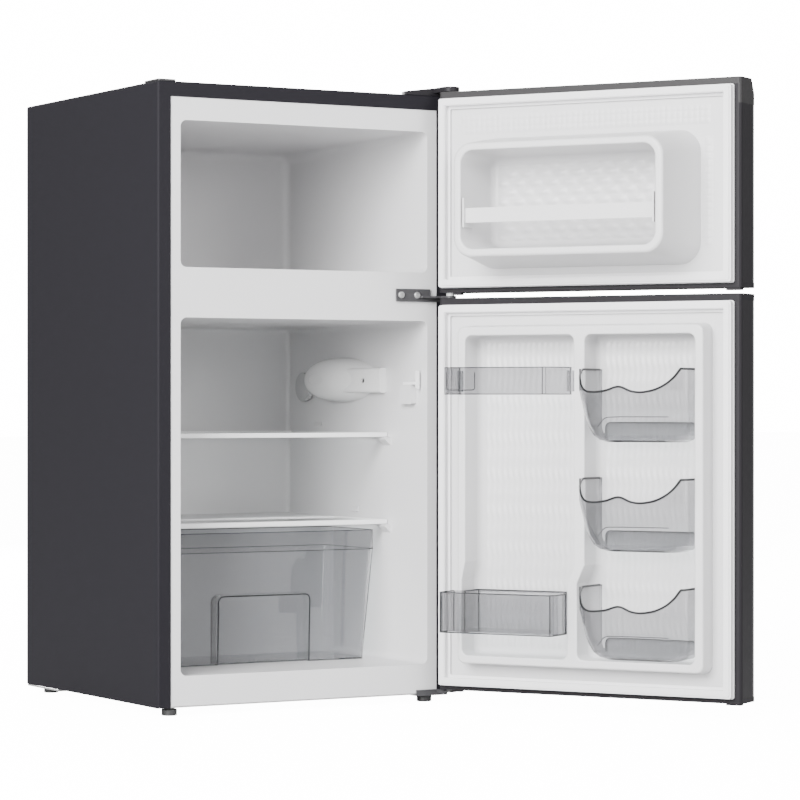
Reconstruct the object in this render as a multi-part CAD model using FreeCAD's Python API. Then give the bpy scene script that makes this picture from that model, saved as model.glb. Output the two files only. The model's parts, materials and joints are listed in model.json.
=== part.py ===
import FreeCAD, Part

import math
import os

from FreeCAD import Vector

# Two-door compact refrigerator, modelled with both doors standing open.
# Millimetres, +X to the right as seen from the front, +Y to the back, +Z up.
# The origin is on the floor, under the middle of the cabinet.

# ---- driving dimensions ----
cabinet_width = 443.0
cabinet_depth = 426.0
cabinet_height = 820.0
foot_height = 11.0
sheet = 1.0                 # painted steel
liner_wall = 2.0            # vacuum-formed plastic
side_flange = 19.0          # dark steel border round the white face
top_flange = 20.0

opening_half_width = 188.0  # both compartments
freezer_floor = 577.0       # heights above the bottom of the cabinet
freezer_ceiling = 770.0
fridge_floor = 41.0
fridge_ceiling = 511.0
cavity_depth = 395.0
hump_front = 260.0          # step over the compressor bay, from the front of the cabinet
hump_top = 237.0
bay_front = 300.0           # compressor bay
bay_top = 186.0

door_width = 444.0
door_gap = 12.0             # door inner face to cabinet front when shut
side_depth = 40.3           # door side strips
panel_depth = 46.0          # to the front panel's outer face
cap_depth = 46.8
freezer_door_low = 549.2
freezer_door_high = 823.0
fridge_door_low = 7.7
fridge_door_high = 541.5
hinge_inset = 12.0          # pivot from the door's hinge edge and from its inner face
door_rest_angle = 121.2     # how far the doors stand open
gasket_height = 11.4
pin_radius = 3.0
pin_clearance = 0.05

# ---- derived places ----
left = -cabinet_width / 2
right = cabinet_width / 2
front = -cabinet_depth / 2
back = cabinet_depth / 2
base = foot_height
top = foot_height + cabinet_height
door_edge = door_width / 2
door_face = front - door_gap
hinge_x = door_edge - hinge_inset
hinge_y = door_face - hinge_inset
hinge_axis = Vector(hinge_x, hinge_y, 0)
up = Vector(0, 0, 1)


# ---- helpers ----
def block(x0, x1, y0, y1, z0, z1):
    return Part.makeBox(x1 - x0, y1 - y0, z1 - z0, Vector(x0, y0, z0))


def post(x, y, z0, z1, radius):
    return Part.makeCylinder(radius, z1 - z0, Vector(x, y, z0), up)


def rod(start, direction, length, radius):
    return Part.makeCylinder(radius, length, Vector(*start), Vector(*direction))


def joined(shapes):
    whole = shapes[0]
    for shape in shapes[1:]:
        whole = whole.fuse(shape)
    return whole.removeSplitter()


def in_plane(plane, a, b, at):
    if plane == "XY":
        return Vector(a, b, at)
    if plane == "XZ":
        return Vector(a, at, b)
    return Vector(at, a, b)


def rounded_wire(plane, at, a0, a1, b0, b1, radius):
    """Rectangle with round corners, drawn in the named plane."""
    c = radius * (1 - math.sqrt(0.5))
    r = radius
    corners = [
        ((a1 - r, b0), (a1 - c, b0 + c), (a1, b0 + r)),
        ((a1, b1 - r), (a1 - c, b1 - c), (a1 - r, b1)),
        ((a0 + r, b1), (a0 + c, b1 - c), (a0, b1 - r)),
        ((a0, b0 + r), (a0 + c, b0 + c), (a0 + r, b0)),
    ]
    arcs = [[in_plane(plane, a, b, at) for a, b in corner] for corner in corners]
    edges = []
    for i, arc in enumerate(arcs):
        edges.append(Part.Arc(*arc).toShape())
        edges.append(Part.makeLine(arc[2], arcs[(i + 1) % 4][0]))
    return Part.Wire(edges)


def rounded_block(plane, at0, at1, a0, a1, b0, b1, radius):
    wire = rounded_wire(plane, at0, a0, a1, b0, b1, radius)
    along = in_plane(plane, 0, 0, at1 - at0)
    return Part.Face(wire).extrude(along)


def polygon_block(plane, at0, at1, points):
    vectors = [in_plane(plane, a, b, at0) for a, b in points]
    wire = Part.makePolygon(vectors + [vectors[0]])
    return Part.Face(wire).extrude(in_plane(plane, 0, 0, at1 - at0))


def tapered(plane, ends, radii):
    """Loft between two round-cornered rectangles, each given as at, a0, a1, b0, b1."""
    wires = [rounded_wire(plane, *end, radius) for end, radius in zip(ends, radii)]
    return Part.makeLoft(wires, True, True)


def round_edges(shape, radius, wanted):
    edges = [e for e in shape.Edges if wanted(e)]
    return shape.makeFillet(radius, edges)


def edge_at(x=None, y=None, z=None, tolerance=0.05):
    """Test for an edge whose two ends both lie on the given coordinates."""
    def test(edge):
        for vertex in edge.Vertexes:
            p = vertex.Point
            for value, place in ((x, p.x), (y, p.y), (z, p.z)):
                if value is not None and abs(value - place) > tolerance:
                    return False
        return True
    return test


def tube(points, bend, radius):
    """Round tube along straight runs with one bend radius at every corner."""
    points = [Vector(*p) for p in points]
    edges = []
    start = points[0]
    for before, corner, after in zip(points, points[1:], points[2:]):
        a = (before - corner).normalize()
        b = (after - corner).normalize()
        half = a.getAngle(b) / 2
        reach = bend / math.tan(half)
        middle = (a + b).normalize()
        centre = corner + middle * (bend / math.sin(half))
        entry = corner + a * reach
        leave = corner + b * reach
        edges.append(Part.makeLine(start, entry))
        edges.append(Part.Arc(entry, centre - middle * bend, leave).toShape())
        start = leave
    edges.append(Part.makeLine(start, points[-1]))
    path = Part.Wire(edges)
    ring = Part.Wire(Part.makeCircle(radius, points[0], points[1] - points[0]))
    return path.makePipeShell([ring], True, True)


def serpentine(plane, at, a0, a1, b0, b1, runs, radius):
    """Tube going to and fro in one plane."""
    pitch = (b1 - b0) / (runs - 1)
    points = []
    for i in range(runs):
        ends = (a0, a1) if i % 2 == 0 else (a1, a0)
        points += [in_plane(plane, a, b0 + i * pitch, at) for a in ends]
    return tube([tuple(p) for p in points], pitch / 2 - 0.01, radius)


def save(name, shape, opened=False):
    if opened:
        shape = shape.copy()
        shape.rotate(hinge_axis, up, door_rest_angle)
    shape.exportStep("parts/" + name + ".step")


# ---- cabinet ----
def cabinet_box(inset):
    """Outer form of the cabinet, drawn in by the given amount."""
    box = block(left + inset, right - inset, front + inset, back, base, top - inset)
    edges = [
        edge_at(x=left + inset, y=front + inset),
        edge_at(x=right - inset, y=front + inset),
        edge_at(y=front + inset, z=top - inset),
        edge_at(x=left + inset, z=top - inset),
        edge_at(x=right - inset, z=top - inset),
    ]
    return round_edges(box, 3.2 - inset, lambda e: any(test(e) for test in edges))


def outer_shell():
    shell = cabinet_box(0).cut(cabinet_box(sheet))
    window = block(left + side_flange, right - side_flange, front - 1, front + 2, base, top - top_flange)
    return shell.cut(window)


def compartment(low, high, depth, grow, rear_shrink, corner, rear_corner, rear_fillet):
    """Tapered hollow of one compartment, or the same grown by the liner's thickness."""
    near = (front - 0.01, -opening_half_width - grow, opening_half_width + grow,
            base + low - grow, base + high + grow)
    far_y = front + depth + grow
    half = opening_half_width - rear_shrink + grow
    far = (far_y, -half, half, base + low - grow + 1, base + high + grow - rear_shrink)
    core = tapered("XZ", [near, far], [corner + grow, rear_corner + grow])
    return round_edges(core, rear_fillet + grow, edge_at(y=far_y))


def freezer_space(grow):
    return compartment(freezer_floor, freezer_ceiling, cavity_depth, grow, 6, 9, 14, 12)


def fridge_space(grow):
    space = compartment(fridge_floor, fridge_ceiling, cavity_depth, grow, wall_taper, 9, 9, 6)
    step = block(left, right, front + hump_front + grow, back, base, base + hump_top - grow)
    step = round_edges(step, 6, edge_at(y=front + hump_front + grow, z=base + hump_top - grow))
    return space.cut(step)


def liner_plate():
    return block(left + 6, right - 6, front + sheet, front + sheet + liner_wall, base + 2, top - 6)


shelf_tops = {"lower": 236.0, "upper": 357.6}
shelf_rears = {"lower": 258.0, "upper": 387.0}
shelf_thickness = 6.7
shelf_front = 107.0
wall_taper = 4.0            # each fridge wall comes in this much towards the back
stop_places = {"lower": 199.0, "upper": 305.0}


def shelf_supports():
    """Ramp-shaped bosses on the side walls: two under each shelf end, one stop above it."""
    bosses = []
    for side in (-1, 1):
        wall = side * (opening_half_width - 0.5)
        for name, height in shelf_tops.items():
            seat = base + height - shelf_thickness - 0.1
            for place, reach, drop in ((shelf_front - 8, 11, 14), (shelf_rears[name] - 44, 8, 7)):
                y = front + place
                ramp = [(wall + side * 2, seat),
                        (wall - side * reach, seat),
                        (wall - side * (reach - 1), seat - 3),
                        (wall + side * 2, seat - drop)]
                bosses.append(polygon_block("XZ", y, y + 20, ramp))
            y = front + stop_places[name]
            rise = base + height + 8
            ramp = [(wall + side * 2, rise), (wall - side * 5, rise + 1), (wall + side * 2, rise + 15)]
            bosses.append(polygon_block("XZ", y - 10, y + 10, ramp))
    return bosses


drain_x = -78.0
drain_y = front + 330.0


def drain_bore():
    return post(drain_x, drain_y, base + bay_top - 5, base + hump_top + 5, 5.0)


def cabinet_liner():
    body = liner_plate()
    for space in (freezer_space(liner_wall), fridge_space(liner_wall)):
        body = body.fuse(space)
    body = body.cut(block(left, right, front - 5, front + sheet, base, top))
    body = body.cut(freezer_space(0)).cut(fridge_space(0))
    inside_wall = fridge_space(liner_wall / 2)
    for boss in shelf_supports():
        body = body.fuse(boss.common(inside_wall))
    body = body.cut(drain_bore())
    body = body.cut(joined(face_screws()))
    return body.removeSplitter()


def cabinet_foam():
    foam = cabinet_box(sheet).cut(liner_plate())
    foam = foam.cut(freezer_space(liner_wall)).cut(fridge_space(liner_wall))
    foam = foam.cut(block(left, right, front, back, base - 1, base + sheet))
    foam = foam.cut(block(left, right, back - sheet, back + 1, base, top))
    foam = foam.cut(block(left, right, front + bay_front - sheet, back + 1, base - 1, base + bay_top + sheet))
    foam = foam.cut(drain_bore())
    for cutter in face_screws() + top_screws() + foot_nuts() + foot_studs():
        foam = foam.cut(cutter)
    return foam


cord_x = right - 60.0
cord_z = base + bay_top - 22.0


def back_panel():
    """Flat rear sheet; a tab hangs into the bay for the mains lead's bushing."""
    panel = block(left + sheet, right - sheet, back - sheet, back, base + bay_top, top - sheet)
    tab = block(cord_x - 22, cord_x + 22, back - sheet, back, cord_z - 20, base + bay_top)
    return panel.fuse(tab).removeSplitter().cut(rod((cord_x, back - 5, cord_z), (0, 1, 0), 10, 6.5))


def bottom_panel():
    """Floor sheet that steps up and over the compressor bay, with the two weld nuts of the front feet."""
    step = front + bay_front
    floor = block(left + sheet, right - sheet, front + sheet, step, base, base + sheet)
    lip = block(left + side_flange, right - side_flange, front, front + sheet, base, base + 2)
    riser = block(left + sheet, right - sheet, step - sheet, step, base, base + bay_top + sheet)
    roof_z = base + bay_top
    roof = block(left + sheet, right - sheet, step - sheet, back - sheet, roof_z, roof_z + sheet)
    panel = joined([floor, lip, riser, roof] + foot_nuts())
    panel = panel.cut(drain_bore())
    return panel.cut(joined(foot_studs()))


# ---- feet ----
front_feet = {"left": (left + 24.0, front + 15.0), "right": (right - 30.4, front + 15.0)}
rear_feet_places = [(left + 22.0, front + 391.0), (right - 22.0, front + 391.0)]
foot_radius = 10.2
stud_radius = 4.0
stud_top = 24.0


def foot_studs():
    return [post(x, y, base - 2, base + stud_top, stud_radius + 0.06) for x, y in front_feet.values()]


def levelling_foot(x, y):
    """Turned foot: threaded stud above a six-flat collar and a round pad."""
    pad = post(x, y, 0, foot_height - 2.2, foot_radius)
    pad = pad.makeFillet(1.4, [e for e in pad.Edges if e.Closed])
    turns = [math.radians(60 * i) for i in range(7)]
    collar = Part.makePolygon([
        Vector(x + 8 * math.cos(turns[i]), y + 8 * math.sin(turns[i]), foot_height - 3)
        for i in range(7)
    ])
    collar = Part.Face(collar).extrude(Vector(0, 0, 2.6))
    stud = post(x, y, foot_height - 3, base + stud_top, stud_radius)
    stud = stud.makeChamfer(1.0, [e for e in stud.Edges if e.Closed and e.BoundBox.ZMin > base + 20])
    return joined([pad, collar, stud])


def foot_nuts():
    return [post(x, y, base + sheet, base + sheet + 10, 8.5) for x, y in front_feet.values()]


def rear_feet():
    feet = []
    for x, y in rear_feet_places:
        foot = post(x, y, 0, base - 3, foot_radius)
        feet.append(foot.makeFillet(1.2, [e for e in foot.Edges if e.Closed]))
    return feet


# ---- compressor bay ----
base_low = base - 3.0
compressor_x = -95.0
compressor_y = front + 367.0
compressor_radius = 54.0
foot_spread_x = 62.0
foot_spread_y = 37.0
grommet_height = 12.0


def mount_places():
    return [(compressor_x + sx * foot_spread_x, compressor_y + sy * foot_spread_y)
            for sx in (-1, 1) for sy in (-1, 1)]


def compressor_base():
    """Pressed plate across the back with turned-up edges."""
    y0 = front + bay_front + 18
    x0 = left + sheet
    x1 = right - sheet
    plate = block(x0, x1, y0, back - 1, base_low, base_low + 2)
    edge_a = block(x0, x1, y0, y0 + 2, base_low, base_low + 12)
    edge_b = block(x0, x1, back - 3, back - 1, base_low, base_low + 12)
    plate = joined([plate, edge_a, edge_b])
    for x, y in mount_places():
        plate = plate.cut(post(x, y, base_low - 1, base_low + 5, 3.1))
    return plate


def compressor():
    """Welded can in two halves on a four-legged foot plate."""
    seat = base_low + 2 + grommet_height
    centre = (compressor_x, compressor_y)
    low = seat + 6
    seam = low + 62
    crown = low + 122
    r = compressor_radius
    rise = 34.0
    dome = ((r - 1.5) ** 2 + rise ** 2) / (2 * rise)
    half = math.asin((r - 1.5) / dome) / 2
    crest = Vector(dome * math.sin(half), 0, crown - dome + dome * math.cos(half))
    outline = [
        Part.makeLine(Vector(0, 0, low), Vector(r - 16, 0, low)),
        Part.Arc(Vector(r - 16, 0, low), Vector(r - 4.7, 0, low + 4.7), Vector(r, 0, low + 16)).toShape(),
        Part.makeLine(Vector(r, 0, low + 16), Vector(r, 0, seam - 3)),
        Part.makeLine(Vector(r, 0, seam - 3), Vector(r + 4, 0, seam - 3)),
        Part.makeLine(Vector(r + 4, 0, seam - 3), Vector(r + 4, 0, seam)),
        Part.makeLine(Vector(r + 4, 0, seam), Vector(r - 1.5, 0, seam)),
        Part.makeLine(Vector(r - 1.5, 0, seam), Vector(r - 1.5, 0, crown - rise)),
        Part.Arc(Vector(r - 1.5, 0, crown - rise), crest, Vector(0, 0, crown)).toShape(),
        Part.makeLine(Vector(0, 0, crown), Vector(0, 0, low)),
    ]
    can = Part.Face(Part.Wire(outline)).revolve(Vector(0, 0, 0), up, 360)
    can.translate(Vector(centre[0], centre[1], 0))
    plate = rounded_block("XY", seat, seat + 2.5,
                          compressor_x - foot_spread_x - 11, compressor_x + foot_spread_x + 11,
                          compressor_y - foot_spread_y - 11, compressor_y + foot_spread_y + 11, 11)
    waist = post(centre[0], centre[1], seat, low + 10, 34)
    for x, y in mount_places():
        plate = plate.cut(post(x, y, seat - 1, seat + 5, 5.2))
    return joined([can, plate, waist])


def compressor_grommets():
    seat = base_low + 2
    grommets = []
    for x, y in mount_places():
        body = post(x, y, seat, seat + grommet_height, 9)
        neck = post(x, y, seat + grommet_height, seat + grommet_height + 2.5, 5.2)
        grommets.append(joined([body, neck]).cut(post(x, y, seat - 1, seat + 20, 3.0)))
    return grommets


def compressor_bolts():
    head = base_low + 2 + grommet_height + 2.5
    bolts = []
    for x, y in mount_places():
        shank = post(x, y, base_low - 1.5, head + 4, 3.0)
        washer = post(x, y, head, head + 1.5, 7.5)
        nut = post(x, y, head + 1.5, head + 6, 5.0)
        foot = post(x, y, base_low - 2.5, base_low, 5.5)
        bolts.append(joined([shank, washer, nut, foot]))
    return bolts


relay_x = compressor_x + compressor_radius - 2


def relay_box():
    low = base_low + 2 + grommet_height + 22
    box = rounded_block("YZ", relay_x, relay_x + 34, compressor_y - 22, compressor_y + 22, low, low + 44, 5)
    return box.cut(compressor())


dryer_x = 60.0
dryer_y = back - 26.0
dryer_low = base + 50.0


def filter_dryer():
    """Copper canister with a neck at each end."""
    can = post(dryer_x, dryer_y, dryer_low, dryer_low + 80, 9)
    can = can.makeFillet(4, [e for e in can.Edges if e.Closed])
    necks = post(dryer_x, dryer_y, dryer_low - 8, dryer_low + 88, 3.6)
    return joined([can, necks])


def refrigerant_tubes():
    """Suction, discharge and process tubes from the compressor, and the tubes of the filter dryer."""
    roof = base + bay_top
    low = base_low + 2 + grommet_height + 6
    cx, cy = compressor_x, compressor_y
    side = cx + compressor_radius - 14
    tubes = [
        tube([(side - 10, cy - 24, low + 90),
              (side + 22, cy - 24, low + 90),
              (side + 22, cy - 24, roof)], 10, 3.2),
        tube([(side - 10, cy + 30, low + 40), (side + 50, cy + 30, low + 40),
              (side + 50, cy + 30, roof)], 10, 2.4),
        tube([(cx - compressor_radius + 8, cy, low + 50), (cx - compressor_radius - 18, cy, low + 50),
              (cx - compressor_radius - 18, cy, low + 95)], 8, 2.4),
        tube([(dryer_x, dryer_y, dryer_low + 88), (dryer_x, dryer_y, roof)], 8, 2.4),
        tube([(dryer_x, dryer_y, dryer_low - 8), (dryer_x, dryer_y, dryer_low - 26),
              (dryer_x + 40, dryer_y, dryer_low - 26), (dryer_x + 40, dryer_y, roof)], 8, 1.6),
    ]
    can = compressor()
    return [t.cut(can) for t in tubes]


pan_low = base_low + 2 + grommet_height + 6 + 122 - 1.5


def drain_pan():
    """Evaporation tray over the compressor."""
    x0 = compressor_x - 62
    x1 = compressor_x + 40
    y0 = compressor_y - 48
    y1 = compressor_y + 46
    rim = pan_low + 20
    outer = tapered("XY", [(pan_low, x0 + 5, x1 - 5, y0 + 5, y1 - 5), (rim, x0, x1, y0, y1)], [10, 14])
    inner = tapered("XY", [(pan_low + 2, x0 + 7, x1 - 7, y0 + 7, y1 - 7),
                           (rim + 0.1, x0 + 2, x1 - 2, y0 + 2, y1 - 2)], [8, 12])
    return outer.cut(inner).cut(compressor())


def drain_tube():
    pipe = post(drain_x, drain_y, pan_low + 15, base + hump_top - 1, 5.0)
    return pipe.cut(post(drain_x, drain_y, pan_low, base + hump_top, 3.6))


def cord_gland():
    """Bushing in the back panel where the mains lead would pass."""
    flange = rod((cord_x, back, cord_z), (0, 1, 0), 2.5, 9)
    neck = rod((cord_x, back - 14, cord_z), (0, 1, 0), 14, 6.5)
    return joined([flange, neck]).cut(rod((cord_x, back - 15, cord_z), (0, 1, 0), 20, 3.5))


def wall_spacers():
    """Blocks that hold the back off the wall."""
    spacers = []
    for x in (left + 60, right - 60):
        spacer = rounded_block("XZ", back, back + 12, x - 9, x + 9, top - 80, top - 40, 4)
        spacers.append(spacer)
    return spacers


def condenser_coil():
    """Hidden condenser: a tube folded to and fro against the inside of each steel side."""
    radius = 2.4
    coils = []
    for x in (left + sheet + radius + 0.05, right - sheet - radius - 0.05):
        coils.append(serpentine("YZ", x, front + 60, back - 50, base + 240, base + 760, 9, radius))
    return coils


def evaporator_coil():
    """Hidden evaporator: a tube folded to and fro behind the freezer's rear wall."""
    y = front + cavity_depth + liner_wall + 3.05
    return serpentine("XZ", y, -150, 150, base + 600, base + 740, 7, 3.0)


# ---- hinges ----
arm_low = base + 542.2
arm_high = base + 545.0
pin_reach = 12.0
arm_half = 8.5


def hinge_pin(z0, z1):
    pin = post(hinge_x, hinge_y, z0, z1, pin_radius)
    return pin


def arm(z0, z1, back_edge):
    """Flat arm from the cabinet's front edge to the pivot, with a round end."""
    bar = block(hinge_x - arm_half, hinge_x + arm_half - 0.5, hinge_y, back_edge, z0, z1)
    return joined([bar, post(hinge_x, hinge_y, z0, z1, arm_half - 0.5)])


def middle_hinge():
    """Angle bracket: a screwed plate on the mullion and a flat arm carrying the double pin."""
    plate = block(right - 84, right - 31, front - 2.5, front, base + 537.2, base + 554.4)
    tail = block(right - 32, hinge_x + arm_half - 0.5, front - 2.5, front, base + 537.2, arm_high)
    shelf = block(right - 48, hinge_x - 4, front - 12, front, arm_low, arm_high)
    pin = hinge_pin(base + fridge_door_high - pin_reach, base + freezer_door_low + pin_reach)
    bracket = joined([plate, tail, shelf, arm(arm_low, arm_high, front), pin])
    for screw in face_screws():
        bracket = bracket.cut(screw)
    return bracket


def top_hinge():
    """Cranked plate on the cabinet's top with the pin pointing down into the freezer door."""
    z = top
    rear = block(right - 48.5, right - 6, front + 6, front + 38, z, z + 2.5)
    riser = block(right - 40, right - 6, front + 3.5, front + 6.0, z, z + 6.5)
    ledge = arm(z + 4, z + 6.5, front + 6)
    pin = hinge_pin(base + freezer_door_high - pin_reach, z + 6.5)
    bracket = joined([rear, riser, ledge, pin])
    for screw in top_screws():
        bracket = bracket.cut(screw)
    return bracket


def bottom_hinge():
    """Plate under the cabinet's front edge with an upstanding pin, and a stiffening lip."""
    high = base + 6.2
    arm_part = arm(high - 2.5, high, front)
    strap = block(right - 52, hinge_x + arm_half - 0.5, front - 2.5, front, base - 2, high)
    lip = block(hinge_x - arm_half, hinge_x - arm_half + 2.5, hinge_y + 2, front, base + 0.8, high)
    shoe = block(right - 52, right - 4, front - 2.5, front + 34, base - 2, base - 0.2)
    pin = hinge_pin(high - 2.5, base + fridge_door_low + pin_reach)
    bracket = joined([arm_part, strap, lip, shoe, pin])
    x, y = front_feet["right"]
    return bracket.cut(post(x, y, base - 5, base + 5, stud_radius + 4.5))


def pan_screw(x, y, z, direction, length):
    head = rod((x, y, z), tuple(-c for c in direction), 2.6, 4.6)
    head = head.makeFillet(1.2, [e for e in head.Edges if e.Closed
                                 and e.CenterOfMass.distanceToPoint(Vector(x, y, z)) > 1])
    shank = rod((x, y, z), direction, length, 2.0)
    return joined([head, shank])


def face_screws():
    height = base + 546.0
    return [pan_screw(x, front - 2.5, height, (0, 1, 0), 14.0) for x in (right - 77, right - 52)]


def top_screws():
    return [pan_screw(x, front + 26, top + 2.5, (0, 0, -1), 12.0) for x in (right - 36, right - 18)]


def cross_cut(screw, x, y, z, direction):
    """Cross recess in a screw head."""
    for turn in (0, 90):
        slot = Part.makeBox(5.2, 0.9, 1.4, Vector(-2.6, -0.45, 0))
        slot.rotate(Vector(0, 0, 0), up, turn)
        aim = FreeCAD.Rotation(up, Vector(*direction))
        slot.Placement = FreeCAD.Placement(Vector(x, y, z), aim) * slot.Placement
        screw = screw.cut(slot)
    return screw


def hinge_screws():
    height = base + 546.0
    screws = [cross_cut(s, x, front - 5.3, height, (0, 1, 0))
              for s, x in zip(face_screws(), (right - 77, right - 52))]
    screws += [cross_cut(s, x, front + 28, top + 5.3, (0, 0, -1))
               for s, x in zip(top_screws(), (right - 56, right - 18))]
    return screws


def hinge_washers():
    """Nylon washers that the doors turn on."""
    washers = []
    for z0, z1 in ((arm_high, base + freezer_door_low - 0.3), (base + 6.2, base + fridge_door_low - 0.3)):
        ring = post(hinge_x, hinge_y, z0, z1, 5.6)
        washers.append(ring.cut(post(hinge_x, hinge_y, z0 - 1, z1 + 1, pin_radius)))
    return washers


def top_hinge_cover():
    """Moulded cap over the top hinge: round over the pivot, sloping down at its inner end."""
    z = top
    high = z + 10.4
    r = 12.4

    def form(inset, low):
        x0, x1 = right - 70 + inset, right - 2 - inset
        body = block(x0, x1, front + 1 + inset, front + 42 - inset, low, high - inset)
        nose = post(hinge_x, hinge_y, low, high - inset, r - inset)
        neck = block(hinge_x - r + inset, hinge_x + r - inset - 0.9, hinge_y, front + 5, low, high - inset)
        body = joined([body, nose, neck])
        low_end = high - inset - 5.5
        slope = polygon_block("XZ", front - 50, front + 60, [
            (right - 71, low_end), (right - 71, high + 3),
            (right - 34, high + 3), (right - 34, high - inset)])
        return body.cut(slope)

    cover = form(0, z).cut(form(1.6, z - 1))
    cover = cover.cut(block(left, right + 5, front - 60, front, z - 1, base + freezer_door_high + 0.6))
    return cover


def top_corner_cover():
    """Plain plate over the spare hinge holes at the other corner."""
    plate = rounded_block("XY", top, top + 2.6, left + 1.5, left + 28, front + 1.5, front + 46, 4)
    return round_edges(plate, 1.0, lambda e: e.BoundBox.ZMin > top + 2)


# ---- lamp, thermostat and door switch on the right wall of the fridge ----
wall_x = opening_half_width
lamp_y = front + 240.0
lamp_z = base + 432.0
knob_y = front + 334.0
knob_z = base + 422.0
knob_radius = 21.0
# each ring of the cover: height off the wall, front end, rear end, half height
cover_rings = [(0, 135, 306, 31), (12, 150, 307, 31), (22, 172, 306, 29),
               (30, 195, 300, 24), (35, 215, 286, 15),
               (37, 232, 272, 8)]


def oval(off_wall, front_end, rear_end, half_z):
    ellipse = Part.Ellipse(Vector(0, 0, 0), (rear_end - front_end) / 2, half_z).toShape()
    turned = FreeCAD.Rotation(Vector(0, 1, 0), Vector(0, 0, 1), Vector(1, 0, 0), "ZXY")
    middle = Vector(wall_x - off_wall, front + (front_end + rear_end) / 2, lamp_z)
    ellipse.Placement = FreeCAD.Placement(middle, turned)
    return Part.Wire([ellipse])


def lamp_dome(inset):
    wires = []
    for off_wall, front_end, rear_end, half_z in cover_rings:
        lower = off_wall * (1 - inset / 37.0)
        wires.append(oval(lower, front_end + inset, rear_end - inset, half_z - inset))
    return Part.makeLoft(wires, True, False)


def lamp_tail(inset):
    """Low tapered fairing in front of the dome."""
    ends = [(200, 27), (112 + inset, 12)]
    wires = []
    for place, off_wall in ends:
        wires.append(rounded_wire("XZ", front + place, wall_x - off_wall + inset, wall_x + 0.01,
                                  lamp_z - 19 + inset, lamp_z + 16 - inset, 4.5))
    return Part.makeLoft(wires, True, True)


def lamp_housing():
    outer = joined([lamp_dome(0), lamp_tail(0)])
    cover = outer.cut(lamp_dome(2.0)).cut(lamp_tail(2.0)).common(fridge_space(0))
    notch = rod((wall_x - 40, lamp_y - 92, lamp_z - 2), (1, 0, 0), 40, 3.4)
    return largest(cover.cut(notch))


def lamp_bulb():
    """Small lamp lying along the wall in its holder."""
    x = wall_x - 15
    y = lamp_y + 8
    bulb = Part.makeSphere(9, Vector(x, y, lamp_z))
    neck = rod((x, y - 26, lamp_z), (0, 1, 0), 22, 5.5)
    holder = rod((x, y - 38, lamp_z), (0, 1, 0), 14, 7.5)
    foot = block(x - 4, wall_x - 3.2, y - 36, y - 28, lamp_z - 6, lamp_z + 6)
    return joined([bulb, neck, holder, foot])


def thermostat_knob():
    """Thumb wheel, its axle square to the wall, with a finger-grip rim."""
    wheel = rod((wall_x - 15, knob_y, knob_z), (1, 0, 0), 8.5, knob_radius)
    wheel = wheel.makeFillet(1.0, [e for e in wheel.Edges if e.Closed])
    for i in range(24):
        a = 2 * math.pi * i / 24
        y = knob_y + (knob_radius + 0.8) * math.cos(a)
        z = knob_z + (knob_radius + 0.8) * math.sin(a)
        wheel = wheel.cut(rod((wall_x - 16, y, z), (1, 0, 0), 12, 1.7))
    hub = rod((wall_x - 6.6, knob_y, knob_z), (1, 0, 0), 2.6, 7)
    return joined([wheel, hub])


switch_y = front + 30.0
switch_z = base + 415.0
paddle_front = front + 15.6
plunger_travel = 4.0


def switch_housing():
    """Switch body on the wall with a guide under the sliding rod."""
    x1 = opening_half_width - 0.8
    body = rounded_block("YZ", x1 - 8, x1, switch_y, switch_y + 33, switch_z - 18, switch_z + 6, 3)
    guide = block(x1 - 6.5, x1, switch_y + 4, switch_y + 29, switch_z + 5, switch_z + 15)
    body = joined([body, guide])
    groove = block(x1 - 8, x1 - 2.7, switch_y - 1, switch_y + 34, switch_z + 8.7, switch_z + 13.3)
    return body.cut(groove)


def switch_plunger():
    """Rod with an upright paddle that the shut door pushes back."""
    x1 = opening_half_width - 0.8
    slider = block(x1 - 7, x1 - 3, paddle_front, switch_y + 28 - plunger_travel, switch_z + 9, switch_z + 13)
    paddle = rounded_block("XZ", paddle_front, paddle_front + 2.6,
                           x1 - 8, x1 - 3, switch_z + 3, switch_z + 28, 1.5)
    return joined([slider, paddle])


# ---- shelves and crisper ----
def shelf_slab(name, side_inset, front_inset, rear_inset, z0, z1):
    """Slab that follows the taper of the side walls."""
    y0 = shelf_front + front_inset
    y1 = shelf_rears[name] - rear_inset
    halves = [opening_half_width - wall_taper * y / cavity_depth - 1.2 - side_inset for y in (y0, y1)]
    outline = [(-halves[0], front + y0), (halves[0], front + y0),
               (halves[1], front + y1), (-halves[1], front + y1)]
    return polygon_block("XY", z0, z1, outline)


def shelf_glass(name):
    z1 = base + shelf_tops[name] - 1.2
    return shelf_slab(name, 1, 3, 3, z1 - 4.0, z1)


def shelf_trim(name):
    """Front and rear edge mouldings joined by slim side rails."""
    z1 = base + shelf_tops[name]
    z0 = z1 - shelf_thickness
    y0 = front + shelf_front
    frame = shelf_slab(name, 0, 0, 0, z0, z1)
    frame = round_edges(frame, 1.4, lambda e: edge_at(y=y0, z=z0)(e) or edge_at(y=y0, z=z1)(e))
    window = shelf_slab(name, 5, 13, 12, z0 - 1, z1 + 1)
    return frame.cut(window).cut(shelf_glass(name))


crisper_wall = 2.2
crisper_front = 112.0
crisper_back = 255.0
crisper_low = fridge_floor + 0.8
crisper_step = 195.0
crisper_high = 222.0
grip_x = (-74.0, 67.0)
grip_high = 135.0


def crisper_form(inset):
    """Body tapering down from a wider rim band."""
    y0 = front + crisper_front + inset
    y1 = front + crisper_back - inset
    low = (base + crisper_low + inset, -158 + inset, 158 - inset, y0 + 6, y1 - 12)
    step = (base + crisper_step, -169 + inset, 169 - inset, y0 + 2, y1 - 2)
    body = tapered("XY", [low, step], [14 - inset, 14 - inset])
    rim = rounded_block("XY", base + crisper_step - 0.01, base + crisper_high,
                        -171.5 + inset, 171.5 - inset, y0, y1, 14 - inset)
    return joined([body, rim])


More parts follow.
